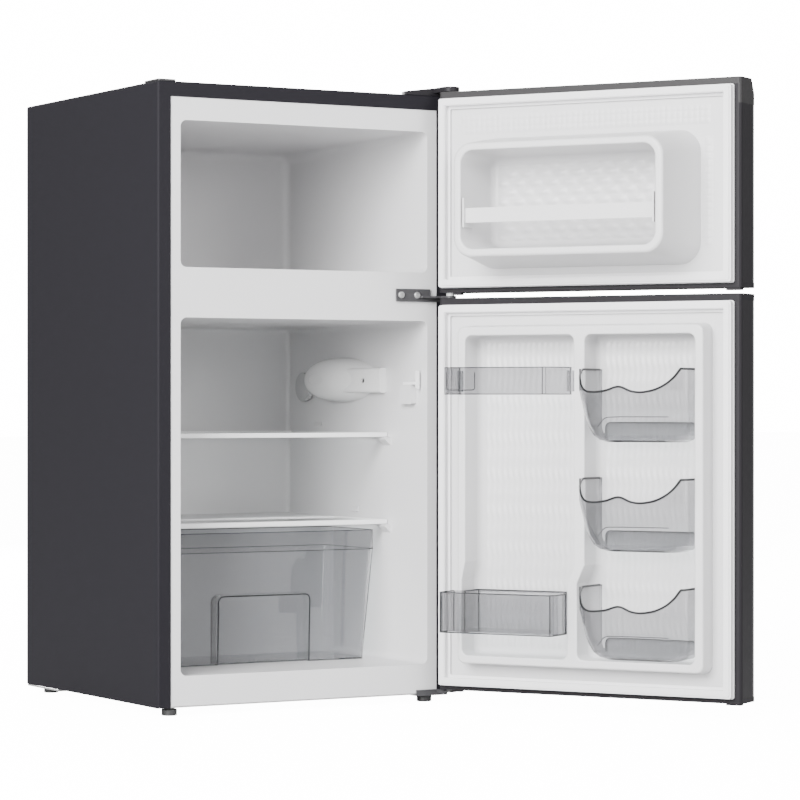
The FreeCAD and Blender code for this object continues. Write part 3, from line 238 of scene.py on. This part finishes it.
def makeDustGroup():
    # light dust on upward faces, as a mask
    tree, start, end = newGroup(
        "settledDust",
        [("Vector", "NodeSocketVector", None), ("Amount", "NodeSocketFloat", 0.2)],
        [("Mask", "NodeSocketFloat")])
    geometry = node(tree, "ShaderNodeNewGeometry", (-650, -200))
    split = node(tree, "ShaderNodeSeparateXYZ", (-450, -200))
    facing = node(tree, "ShaderNodeMapRange", (-250, -200))
    facing.inputs["From Min"].default_value = 0.5
    facing.inputs["From Max"].default_value = 1.0
    noise = node(tree, "ShaderNodeTexNoise", (-450, 100))
    noise.inputs["Scale"].default_value = 60.0
    noise.inputs["Detail"].default_value = 5.0
    mixed = node(tree, "ShaderNodeMath", (-50, 0), operation="MULTIPLY")
    scaled = node(tree, "ShaderNodeMath", (150, 0), operation="MULTIPLY")
    link = tree.links.new
    link(start.outputs["Vector"], noise.inputs["Vector"])
    link(geometry.outputs["Normal"], split.inputs[0])
    link(split.outputs["Z"], facing.inputs["Value"])
    link(noise.outputs[0], mixed.inputs[0])
    link(facing.outputs[0], mixed.inputs[1])
    link(mixed.outputs[0], scaled.inputs[0])
    link(start.outputs["Amount"], scaled.inputs[1])
    link(scaled.outputs[0], end.inputs["Mask"])
    return tree


grainGroup = makeGrainGroup()
toneGroup = makeToneGroup()
brushGroup = makeBrushGroup()
dustGroup = makeDustGroup()


# materials
def startMaterial(name):
    material = bpy.data.materials.new(name)
    material.use_nodes = True
    tree = material.node_tree
    shader = tree.nodes["Principled BSDF"]
    coords = node(tree, "ShaderNodeTexCoord", (-900, 0))
    return material, tree, shader, coords.outputs["Object"]


def useGroup(tree, group, vector, place, **values):
    made = node(tree, "ShaderNodeGroup", place)
    made.node_tree = group
    tree.links.new(vector, made.inputs["Vector"])
    for key, value in values.items():
        made.inputs[key.replace("_", " ")].default_value = value
    return made


def mouldedPlastic(name, color, roughness, grain=700.0, depth=0.1, coarse=0.3, coat=0.0, drift=0.04,
                   specular=0.5):
    material, tree, shader, vector = startMaterial(name)
    tone = useGroup(tree, toneGroup, vector, (-550, 200), Color=(*color, 1), Amount=drift,
                    Roughness=roughness)
    grainNode = useGroup(tree, grainGroup, vector, (-550, -200), Scale=grain, Depth=depth, Coarse=coarse)
    tree.links.new(tone.outputs["Color"], shader.inputs["Base Color"])
    tree.links.new(tone.outputs["Roughness"], shader.inputs["Roughness"])
    tree.links.new(grainNode.outputs["Normal"], shader.inputs["Normal"])
    shader.inputs["Coat Weight"].default_value = coat
    shader.inputs["Coat Roughness"].default_value = 0.15
    shader.inputs["Specular IOR Level"].default_value = specular
    return material


def addDust(tree, shader, vector, amount, dustColor):
    mask = useGroup(tree, dustGroup, vector, (-550, 450), Amount=amount)
    mix = node(tree, "ShaderNodeMix", (-250, 350), data_type="RGBA")
    source = shader.inputs["Base Color"].links[0].from_socket
    tree.links.new(mask.outputs["Mask"], mix.inputs["Factor"])
    tree.links.new(source, mix.inputs["A"])
    mix.inputs["B"].default_value = (*dustColor, 1)
    tree.links.new(mix.outputs["Result"], shader.inputs["Base Color"])


def paintedSteel(name, color, roughness, peel=0.05, dust=0.0, drift=0.05, specular=0.5):
    material, tree, shader, vector = startMaterial(name)
    tone = useGroup(tree, toneGroup, vector, (-550, 200), Color=(*color, 1), Amount=drift, Scale=5.0,
                    Roughness=roughness, Gloss_drift=0.08)
    grainNode = useGroup(tree, grainGroup, vector, (-550, -200), Scale=420.0, Depth=peel, Coarse=0.2)
    tree.links.new(tone.outputs["Color"], shader.inputs["Base Color"])
    tree.links.new(tone.outputs["Roughness"], shader.inputs["Roughness"])
    tree.links.new(grainNode.outputs["Normal"], shader.inputs["Normal"])
    shader.inputs["Specular IOR Level"].default_value = specular
    if dust:
        addDust(tree, shader, vector, dust, (0.45, 0.44, 0.42))
    return material


def brushedSteel(name, color, roughness, stretch, depth=0.12):
    material, tree, shader, vector = startMaterial(name)
    lines = useGroup(tree, brushGroup, vector, (-550, -150), Stretch=stretch, Depth=depth,
                     Roughness=roughness)
    tone = useGroup(tree, toneGroup, vector, (-550, 200), Color=(*color, 1), Amount=0.04, Scale=6.0)
    tree.links.new(tone.outputs["Color"], shader.inputs["Base Color"])
    tree.links.new(lines.outputs["Roughness"], shader.inputs["Roughness"])
    tree.links.new(lines.outputs["Normal"], shader.inputs["Normal"])
    shader.inputs["Metallic"].default_value = 1.0
    return material


def clearMaterial(name, color, roughness, ior=1.49, ripple=0.03):
    material, tree, shader, vector = startMaterial(name)
    tone = useGroup(tree, toneGroup, vector, (-550, 200), Color=(*color, 1), Amount=0.02, Scale=12.0,
                    Roughness=roughness, Gloss_drift=0.03)
    grainNode = useGroup(tree, grainGroup, vector, (-550, -200), Scale=90.0, Depth=ripple, Coarse=0.5)
    tree.links.new(tone.outputs["Color"], shader.inputs["Base Color"])
    tree.links.new(tone.outputs["Roughness"], shader.inputs["Roughness"])
    tree.links.new(grainNode.outputs["Normal"], shader.inputs["Normal"])
    shader.inputs["Transmission Weight"].default_value = 1.0
    shader.inputs["IOR"].default_value = ior
    # lamps shine through to what lies behind
    rays = node(tree, "ShaderNodeLightPath", (0, 500))
    opening = node(tree, "ShaderNodeBsdfTransparent", (0, 150))
    opening.inputs["Color"].default_value = (0.90, 0.91, 0.91, 1)
    mix = node(tree, "ShaderNodeMixShader", (350, 200))
    output = tree.nodes["Material Output"]
    tree.links.new(rays.outputs["Is Shadow Ray"], mix.inputs[0])
    tree.links.new(shader.outputs[0], mix.inputs[1])
    tree.links.new(opening.outputs[0], mix.inputs[2])
    tree.links.new(mix.outputs[0], output.inputs["Surface"])
    return material


# one finish for each material slot of the record
capBlackColor = (0.0135, 0.0125, 0.0145)
finishes = {
    "shell_paint": paintedSteel("shellPaint", (0.0115, 0.0108, 0.0135), 0.6, specular=0.08),
    "back_paint": paintedSteel("backPaint", (0.014, 0.014, 0.016), 0.6, dust=0.02, specular=0.15),
    "plated_steel": brushedSteel("zincPlate", (0.55, 0.55, 0.55), 0.34, (60.0, 60.0, 60.0), 0.05),
    "dark_steel": paintedSteel("darkSteel", (0.045, 0.044, 0.047), 0.4, 0.06, specular=0.35),
    "liner_white": mouldedPlastic("linerWhite", (0.600, 0.597, 0.604), 0.36, 240.0, 0.05, 0.5,
                                  coat=0.12, drift=0.03, specular=0.4),
    "trim_white": mouldedPlastic("trimWhite", (0.80, 0.80, 0.805), 0.30, 500.0, 0.04),
    "foam": mouldedPlastic("foamYellow", (0.72, 0.60, 0.34), 0.9, 150.0, 0.6),
    "door_steel": brushedSteel("doorSteel", (0.60, 0.60, 0.61), 0.30, (5.0, 5.0, 1100.0)),
    "cap_grey": mouldedPlastic("capGrey", (0.025, 0.024, 0.025), 0.45, 900.0, specular=0.18),
    "cap_black": mouldedPlastic("capBlack", capBlackColor, 0.5, 900.0, specular=0.12),
    "frame_black": mouldedPlastic("frameBlack", capBlackColor, 0.45, 700.0, 0.05, specular=0.12),
    "gasket": mouldedPlastic("gasketGrey", (0.74, 0.735, 0.745), 0.5, 800.0, 0.06, specular=0.4),
    "clear_plastic": clearMaterial("clearPlastic", (0.50, 0.50, 0.51), 0.03, 1.45, 0.015),
    "shelf_glass": clearMaterial("shelfGlass", (0.80, 0.83, 0.825), 0.02, 1.5, 0.0),
    "lamp_clear": mouldedPlastic("lampMilky", (0.70, 0.70, 0.70), 0.24, 300.0, 0.03, coat=0.3),
    "bulb_glass": clearMaterial("bulbGlass", (0.97, 0.95, 0.9), 0.05, 1.5),
    "black_plastic": mouldedPlastic("blackPlastic", (0.02, 0.02, 0.021), 0.48, 800.0, 0.12),
    "compressor_black": paintedSteel("compressorBlack", (0.012, 0.012, 0.013), 0.25, 0.1, 0.15),
    "rubber": mouldedPlastic("rubberBlack", (0.02, 0.02, 0.02), 0.7, 500.0, 0.15),
    "copper": brushedSteel("copperTube", (0.72, 0.36, 0.22), 0.28, (80.0, 80.0, 80.0), 0.05),
    "nylon": mouldedPlastic("nylonNatural", (0.72, 0.73, 0.72), 0.4, 500.0, 0.05),
    "aluminium_tube": brushedSteel("aluminiumTube", (0.75, 0.75, 0.76), 0.3, (50.0, 50.0, 50.0)),
}

# painted shade: the beads are the real rims and moulded lines of the clear parts, but their opaque dark
# colour stands in for the dark look that refracted light gives thick clear plastic
paintedShadeEdge = mouldedPlastic("paintedShadeEdge", (0.016, 0.0165, 0.018), 0.3, 400.0, 0.02, drift=0.02, specular=0.2)
crisperClear = clearMaterial("crisperClear", (0.64, 0.64, 0.65), 0.03, 1.45, 0.015)
knobGrey = mouldedPlastic("knobGrey", (0.40, 0.40, 0.405), 0.35, 600.0, 0.05)

slotOf = {s["node"]: s["material_slot"] for s in frame["record"]["subparts"]}
for name, piece in nodes.items():
    piece.data.materials.clear()
    piece.data.materials.append(finishes[slotOf[name]])
nodes["thermostat_knob"].data.materials[0] = knobGrey
for name in ("freezer_retainer", "switch_housing"):
    nodes[name].data.materials[0] = finishes["liner_white"]
nodes["crisper_drawer"].data.materials[0] = crisperClear
print("finishes made:", len(finishes))


# places on the open doors
doorSet = {
    "edgeX": 222.0,      # hinge edge and inner face of a shut door, mm
    "faceY": -225.0,
    "pivot": (210.0, -237.0),
    "openAngle": 121.2,
    "groundGap": 11.0,
}


def doorPoint(u, p, z):
    # u along the shut door from its hinge edge, p inwards from its inner face, z above the cabinet's bottom
    turn = math.radians(doorSet["openAngle"])
    dx = doorSet["edgeX"] - u - doorSet["pivot"][0]
    dy = doorSet["faceY"] + p - doorSet["pivot"][1]
    x = doorSet["pivot"][0] + dx * math.cos(turn) - dy * math.sin(turn)
    y = doorSet["pivot"][1] + dx * math.sin(turn) + dy * math.cos(turn)
    return Vector((x, y, z + doorSet["groundGap"])) / 1000


def cabinetPoint(x, y, z):
    # x from the middle, y back from the front face, z above the cabinet's bottom
    return Vector((x, y - 213.0, z + doorSet["groundGap"])) / 1000


def pickOnly(piece):
    bpy.ops.object.select_all(action="DESELECT")
    piece.select_set(True)
    bpy.context.view_layer.objects.active = piece


def finishPiece(piece, name, body, material, angle=35):
    piece.name = name
    piece.data.name = name
    piece.data.materials.clear()
    piece.data.materials.append(material)
    pickOnly(piece)
    bpy.ops.object.shade_smooth_by_angle(angle=math.radians(angle))
    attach(piece, body)
    return piece


def smoothPath(points, steps):
    # a curve through the points, with even steps between each pair
    path = []
    ends = [points[0]] + list(points) + [points[-1]]
    for a, b, c, d in zip(ends, ends[1:], ends[2:], ends[3:]):
        for i in range(steps):
            t = i / steps
            path.append(0.5 * (2 * b + (c - a) * t + (2 * a - 5 * b + 4 * c - d) * t ** 2
                               + (3 * b - a - 3 * c + d) * t ** 3))
    path.append(points[-1])
    return path


def beadMesh(paths, radius):
    # round beads along paths, as one mesh; a path that ends where it starts is closed
    data = bpy.data.curves.new("bead", "CURVE")
    data.dimensions = "3D"
    data.bevel_depth = radius / 1000
    data.bevel_resolution = 3
    data.use_fill_caps = True
    for path in paths:
        closed = (path[0] - path[-1]).length < 1e-6
        run = path[:-1] if closed else path
        spline = data.splines.new("POLY")
        spline.points.add(len(run) - 1)
        for spot, place in zip(spline.points, run):
            spot.co = (*place, 1)
        spline.use_cyclic_u = closed
    piece = bpy.data.objects.new("bead", data)
    bpy.context.scene.collection.objects.link(piece)
    pickOnly(piece)
    bpy.ops.object.convert(target="MESH")
    bpy.ops.object.mode_set(mode="EDIT")
    bpy.ops.mesh.select_all(action="SELECT")
    bpy.ops.mesh.remove_doubles(threshold=1e-6)
    bpy.ops.mesh.normals_make_consistent(inside=False)
    bpy.ops.object.mode_set(mode="OBJECT")
    return bpy.context.object


def roundedRun(corners, *radii):
    # straight runs with a round at each inner corner, radii in mm
    steps = 6
    path = [corners[0]]
    for before, corner, after, radius in zip(corners, corners[1:], corners[2:], radii):
        start = corner + (before - corner).normalized() * radius / 1000
        end = corner + (after - corner).normalized() * radius / 1000
        for i in range(steps + 1):
            t = i / steps
            path.append(start * (1 - t) ** 2 + corner * 2 * t * (1 - t) + end * t ** 2)
    path.append(corners[-1])
    return path


# can racks: thick rims and moulded ledges
rackSet = {
    "levels": {"top": 347.3, "middle": 203.5, "bottom": 61.0},
    "height": 96.4,
    "rim": [(236.9, 3.0), (240.5, 13.0), (247.5, 25.0), (259.0, 30.5), (280.0, 29.0), (300.5, 23.6),
            (318.0, 29.5), (333.0, 31.0), (352.0, 27.5), (367.0, 20.5), (377.0, 11.0), (382.6, 0.5)],
    "rimRadius": 1.5,
    "thinRadius": 0.55,
    "ends": (237.6, 383.9),              # u of the two side walls
    "front": 68.9,                       # p of the front wall
    "corner": 21.0,                      # radius between side and front walls
    "sideBack": -9.0, "sideTurn": 46.0,  # p where a side rim ends and where it meets the front rim
    "sideDrop": 0.6,
    "ledgeFront": 56.0, "ledgeRise": 33.5,
    "tab": (247.0, 374.5), "tabBack": -9.9, "tabRise": (6.0, 26.0),
}


def rackFront(u):
    # how far out the rack's front wall is at a place along the door
    low, high = rackSet["ends"]
    reach = rackSet["corner"]
    edge = min(u - low, high - u)
    if edge >= reach:
        return rackSet["front"]
    edge = max(edge, 0.0)
    return rackSet["front"] - reach + math.sqrt(max(reach ** 2 - (reach - edge) ** 2, 0.0))


def addRackRims(level):
    s = rackSet
    z = s["levels"][level]
    top = z + s["height"]
    flat = smoothPath([Vector((u, top - drop)) for u, drop in s["rim"]], 8)
    rim = [doorPoint(spot.x, rackFront(spot.x), spot.y) for spot in flat]
    sides = [[doorPoint(u, p, top - s["sideDrop"]) for p in (s["sideBack"], s["sideTurn"])]
             for u in s["ends"]]
    leftEnd = roundedRun(sides[0] + [rim[0]], 5)
    rightEnd = roundedRun([rim[-1]] + sides[1][::-1], 5)
    heavy = beadMesh([leftEnd[:-1] + rim + rightEnd[1:]], s["rimRadius"])
    finishPiece(heavy, "canRackRim_" + level, "can_rack_" + level, paintedShadeEdge, 60)
    front, ledgeZ = s["ledgeFront"], z + s["ledgeRise"]
    ledge = roundedRun([doorPoint(262.0, front - 6.0, ledgeZ - 13.5), doorPoint(275.0, front, ledgeZ - 0.5),
                        doorPoint(300.0, front, ledgeZ)], 7)
    ledge += [doorPoint(u, front, ledgeZ) for u in (330.0, 366.0)]
    (tabLeft, tabRight), (tabLow, tabHigh) = s["tab"], s["tabRise"]
    tab = roundedRun([doorPoint(u, s["tabBack"], z + rise) for u, rise in (
        (tabLeft, tabLow), (tabLeft, tabHigh), (tabRight, tabHigh), (tabRight, tabLow))], 7, 7)
    thin = beadMesh([ledge, tab], s["thinRadius"])
    finishPiece(thin, "canRackLedge_" + level, "can_rack_" + level, paintedShadeEdge, 60)


for level in rackSet["levels"]:
    addRackRims(level)
print("can racks rimmed")


# upper guard and lower bin
railSet = {
    "guard": (410.0, 446.5),     # z of the low and high edge
    "guardOutline": [(46.9, 30.0), (46.9, 75.4), (198.6, 75.4), (213.4, 30.0)],
    "guardPosts": [(47.6, 30.2), (213.0, 30.2), (194.0, 75.4)],
    "window": (52.0, 94.0),      # u of the moulded frame's sides
    "windowFront": 75.2,
    "radius": 0.6,
    "bin": (91.7, 146.0),
    "binOutline": [(38.6, 29.4), (38.6, 75.4), (206.4, 75.4), (206.4, 29.4)],
    "binBack": [(55.4, 29.0), (55.4, -10.8), (201.9, -10.8), (201.9, 29.0)],
    "binPosts": [(38.9, 29.6), (206.1, 29.6), (55.4, -10.8), (201.9, -10.8), (41.4, 72.8), (203.6, 72.8)],
    "binRadius": 0.75,
}


def levelRun(outline, z, *radii):
    return roundedRun([doorPoint(u, p, z) for u, p in outline], *radii)


def posts(places, low, high):
    return [[doorPoint(u, p, low), doorPoint(u, p, high)] for u, p in places]


def addGuardRims():
    s = railSet
    low, high = s["guard"]
    inset = 0.5
    paths = [levelRun(s["guardOutline"], z, 6, 5) for z in (low + inset, high - inset)]
    paths += posts(s["guardPosts"], low + inset, high - inset)
    left, right = s["window"]
    paths.append(roundedRun([doorPoint(u, s["windowFront"], z) for u, z in (
        (left, high - 7), (left, low + 6), (right, low + 6), (right, high - 7))], 4, 4))
    rim = beadMesh(paths, s["radius"])
    finishPiece(rim, "guardRim", "door_upper_guard", paintedShadeEdge, 60)


def addBinRims():
    s = railSet
    low, high = s["bin"]
    inset = 0.6
    paths = [levelRun(s["binOutline"], z, 9, 9) for z in (low + inset, high - inset)]
    paths += posts(s["binPosts"], low + inset, high - inset)
    paths.append(levelRun(s["binBack"], high - inset, 6, 6))
    rim = beadMesh(paths, s["binRadius"])
    finishPiece(rim, "binRim", "door_lower_bin", paintedShadeEdge, 60)


addGuardRims()
addBinRims()
print("guard and bin rimmed")


# crisper: lip, step line and arched finger recess
crisperSet = {
    "front": 112.0, "back": 255.0,
    "high": 222.0, "step": 195.0, "low": 41.8,
    "lipHalf": 171.0, "stepHalf": 171.2, "baseHalf": 157.8,
    "baseFront": 6.8, "baseBack": 12.6,     # how far the base is set in from the lip
    "corner": 14,
    "cornerLine": [(167.2, 4.2), (153.6, 10.4)],
    "grip": (-74.0, 67.0), "gripHigh": 135.0,
    "gripInset": (6.4, 2.6),                # from the front, at its foot and its top
    "thick": 1.0, "thin": 0.5,
}


def crisperBand(z, half, front, back):
    corners = [(0, front), (half, front), (half, back), (-half, back), (-half, front), (0, front)]
    return roundedRun([cabinetPoint(x, y, z) for x, y in corners], *[crisperSet["corner"]] * 4)


def addCrisperLines():
    s = crisperSet
    front, back = s["front"], s["back"]
    left, right = s["grip"]
    footInset, topInset = s["gripInset"]
    foot, top = s["low"] + 1.0, s["gripHigh"]
    arch = roundedRun([cabinetPoint(left, front + footInset, foot), cabinetPoint(left, front + topInset, top),
                       cabinetPoint(right, front + topInset, top),
                       cabinetPoint(right, front + footInset, foot)], 9, 9)
    heavy = beadMesh([arch], s["thick"])
    finishPiece(heavy, "crisperArch", "crisper", paintedShadeEdge, 60)

    paths = [crisperBand(s["high"] - 0.6, s["lipHalf"], front + 0.6, back - 0.6),
             crisperBand(s["step"], s["stepHalf"], front + 0.5, back - 0.5),
             crisperBand(s["low"] + 1.2, s["baseHalf"], front + s["baseFront"], back - s["baseBack"])]
    (upperX, upperY), (lowerX, lowerY) = s["cornerLine"]
    for side in (1, -1):
        paths.append([cabinetPoint(side * upperX, front + upperY, s["high"] - 1),
                      cabinetPoint(side * upperX, front + upperY, s["step"]),
                      cabinetPoint(side * lowerX, front + lowerY, s["low"] + 1.5)])
    thin = beadMesh(paths, s["thin"])
    finishPiece(thin, "crisperLines", "crisper", paintedShadeEdge, 60)


addCrisperLines()
print("crisper lines made")


# moulded cap over the top hinge
hingeCapSet = {
    "left": 155.0, "right": 219.6,
    "front": 0.9, "rear": 40.0,
    "leftRear": 7.0, "rearLeft": 170.0,            # the rear left corner is cut off
    "nose": (210.0, -24.0), "noseRadius": 12.2,    # round front end over the hinge pin
    "noseStep": 15,                                # degrees
    "low": 820.1, "neckLow": 823.7,
    "leftHigh": 824.8, "high": 830.5, "slopeEnd": 187.5,
    "edge": 1.1,
}


def capTop(x):
    s = hingeCapSet
    share = min(1.0, max(0.0, (x - s["left"]) / (s["slopeEnd"] - s["left"])))
    return s["leftHigh"] + share * (s["high"] - s["leftHigh"])


def slabFrom(outline, low, topAt, edge):
    # a flat outline raised into a closed block with softened top edges
    rise = 0.002
    bpy.ops.object.select_all(action="DESELECT")
    bpy.ops.mesh.primitive_circle_add(vertices=len(outline), fill_type="NGON")
    slab = bpy.context.object
    for spot, (x, y) in zip(slab.data.vertices, outline):
        spot.co = cabinetPoint(x, y, low)
    bpy.ops.object.mode_set(mode="EDIT")
    bpy.ops.mesh.select_all(action="SELECT")
    bpy.ops.mesh.extrude_region_move(TRANSFORM_OT_translate={"value": (0, 0, rise)})
    bpy.ops.mesh.select_mode(type="EDGE")
    bpy.ops.object.mode_set(mode="OBJECT")
    midZ = cabinetPoint(0, 0, low).z + rise / 2
    for face in slab.data.polygons:
        face.select = False
    for spot in slab.data.vertices:
        spot.select = spot.co.z > midZ
        if spot.select:
            spot.co.z = cabinetPoint(0, 0, topAt(spot.co.x * 1000)).z
    for line in slab.data.edges:
        line.select = all(slab.data.vertices[i].select for i in line.vertices)
    bpy.ops.object.mode_set(mode="EDIT")
    bpy.ops.mesh.bevel(offset=edge / 1000, segments=3, affect="EDGES")
    bpy.ops.mesh.select_all(action="SELECT")
    bpy.ops.mesh.normals_make_consistent(inside=False)
    bpy.ops.object.mode_set(mode="OBJECT")
    return slab


def addHingeCap():
    s = hingeCapSet
    noseX, noseY = s["nose"]
    radius = s["noseRadius"]
    turns = [math.radians(a) for a in range(180, 361, s["noseStep"])]
    arc = [(noseX + radius * math.cos(a), noseY + radius * math.sin(a)) for a in turns]
    neckBack = s["front"] + 1.5
    nose = [(noseX - radius, neckBack)] + arc + [(s["right"], neckBack)]
    plate = [(s["left"], s["front"]), (noseX - radius, s["front"]), (s["right"], s["front"]),
             (s["right"], s["rear"]), (s["rearLeft"], s["rear"]), (s["left"], s["leftRear"])]
    parts = [slabFrom(nose, s["neckLow"], capTop, s["edge"]),
             slabFrom(plate, s["low"], capTop, s["edge"])]
    bpy.ops.object.select_all(action="DESELECT")
    for part in parts:
        part.select_set(True)
    bpy.context.view_layer.objects.active = parts[0]
    bpy.ops.object.join()
    cap = bpy.context.object
    finishPiece(cap, "hingeCap", "cabinet", finishes["frame_black"], 40)
    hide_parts("top_hinge_cover")


addHingeCap()
print("hinge cap made")


# moulded relief on the door liners
reliefSet = {
    # name: (door, u from, u to, z from, z to, floor p, step in u, step in z, height, pattern)
    "freezerRecess": ("freezer_door", 95, 349, 616, 721, 8.0, 1.6, 1.3, 1.7, "pillow"),
    "freezerBand": ("freezer_door", 34, 402, 762, 790, -1.2, 1.5, 1.5, 0.6, "blocks"),
    "freezerColumn": ("freezer_door", 391, 405, 600, 748, -1.2, 1.5, 1.5, 0.6, "blocks"),
    "bottleRecess": ("fridge_door", 63, 198, 68, 481, -14.0, 1.2, 3.0, 1.3, "wave"),
    "canRecess": ("fridge_door", 240, 381, 68, 481, -14.0, 1.2, 3.0, 1.3, "wave"),
}


reliefShape = {
    "pitch": {"pillow": (25.0, 12.5), "blocks": (8.0, 9.3), "wave": (8.5, 25.0)},    # in u and z, mm
    "sunk": 0.08, "proud": 0.16,     # mm, at the sheet's rim and inside it
    "fade": 5.0,
    "wall": 0.0006,
}


def reliefHeight(pattern, u, z):
    pitchU, pitchZ = reliefShape["pitch"][pattern]
    if pattern == "pillow":
        shift = 0.5 * (math.floor(z / pitchZ) % 2)
        return (math.sin(math.pi * (u / pitchU + shift)) ** 2) * (math.sin(math.pi * z / pitchZ) ** 2)
    if pattern == "blocks":
        return (min(1.0, 2.2 * abs(math.sin(math.pi * u / pitchU)))
                * min(1.0, 2.2 * abs(math.sin(math.pi * z / pitchZ))))
    swing = 0.9 * math.sin(math.pi * z / pitchZ)
    ripple = 0.5 + 0.5 * math.cos(2 * math.pi * u / pitchU + swing)
    return ripple * (0.62 + 0.38 * math.cos(2 * math.pi * z / pitchZ))


def addRelief(name):
    door, u0, u1, z0, z1, floorP, stepU, stepZ, height, pattern = reliefSet[name]
    s = reliefShape
    bpy.ops.object.select_all(action="DESELECT")
    bpy.ops.mesh.primitive_grid_add(x_subdivisions=int((u1 - u0) / stepU),
                                    y_subdivisions=int((z1 - z0) / stepZ), size=1.0)
    sheet = bpy.context.object
    for spot in sheet.data.vertices:
        u = u0 + (spot.co.x + 0.5) * (u1 - u0)
        z = z0 + (spot.co.y + 0.5) * (z1 - z0)
        fade = min(1.0, min(u - u0, u1 - u, z - z0, z1 - z) / s["fade"])
        rise = fade * (s["proud"] + height * reliefHeight(pattern, u, z)) - s["sunk"]
        spot.co = doorPoint(u, floorP + rise, z)
    pickOnly(sheet)
    bpy.ops.object.mode_set(mode="EDIT")
    bpy.ops.mesh.select_all(action="SELECT")
    bpy.ops.mesh.normals_make_consistent(inside=False)
    bpy.ops.object.mode_set(mode="OBJECT")
    inward = doorPoint(0, 1, 0) - doorPoint(0, 0, 0)
    if sum(face.normal.dot(inward) for face in sheet.data.polygons) < 0:
        sheet.data.flip_normals()
    wall = sheet.modifiers.new("wall", "SOLIDIFY")
    wall.thickness = s["wall"]
    wall.offset = -1
    bpy.ops.object.modifier_apply(modifier="wall")
    finishPiece(sheet, name + "Relief", door, finishes["liner_white"], 60)


for name in reliefSet:
    addRelief(name)
print("door reliefs made")


# floor
floorSet = {"size": 60.0, "color": (0.62, 0.62, 0.62), "glow": 14.0}


def addFloor():
    bpy.ops.object.select_all(action="DESELECT")
    bpy.ops.mesh.primitive_plane_add(size=floorSet["size"], location=(0, 0, 0))
    floor = bpy.context.object
    floor.name = "studioFloor"
    pale = mouldedPlastic("floorPale", floorSet["color"], 0.7, 60.0, 0.02, 0.3, 0.0, 0.01, 0.2)
    glow = pale.node_tree.nodes["Principled BSDF"]
    glow.inputs["Emission Color"].default_value = (1, 1, 1, 1)
    rays = node(pale.node_tree, "ShaderNodeLightPath", (-600, 600))
    level = node(pale.node_tree, "ShaderNodeMath", (-300, 600), operation="MULTIPLY")
    level.inputs[1].default_value = floorSet["glow"]
    pale.node_tree.links.new(rays.outputs["Is Camera Ray"], level.inputs[0])
    pale.node_tree.links.new(level.outputs[0], glow.inputs["Emission Strength"])
    floor.data.materials.append(pale)


addFloor()
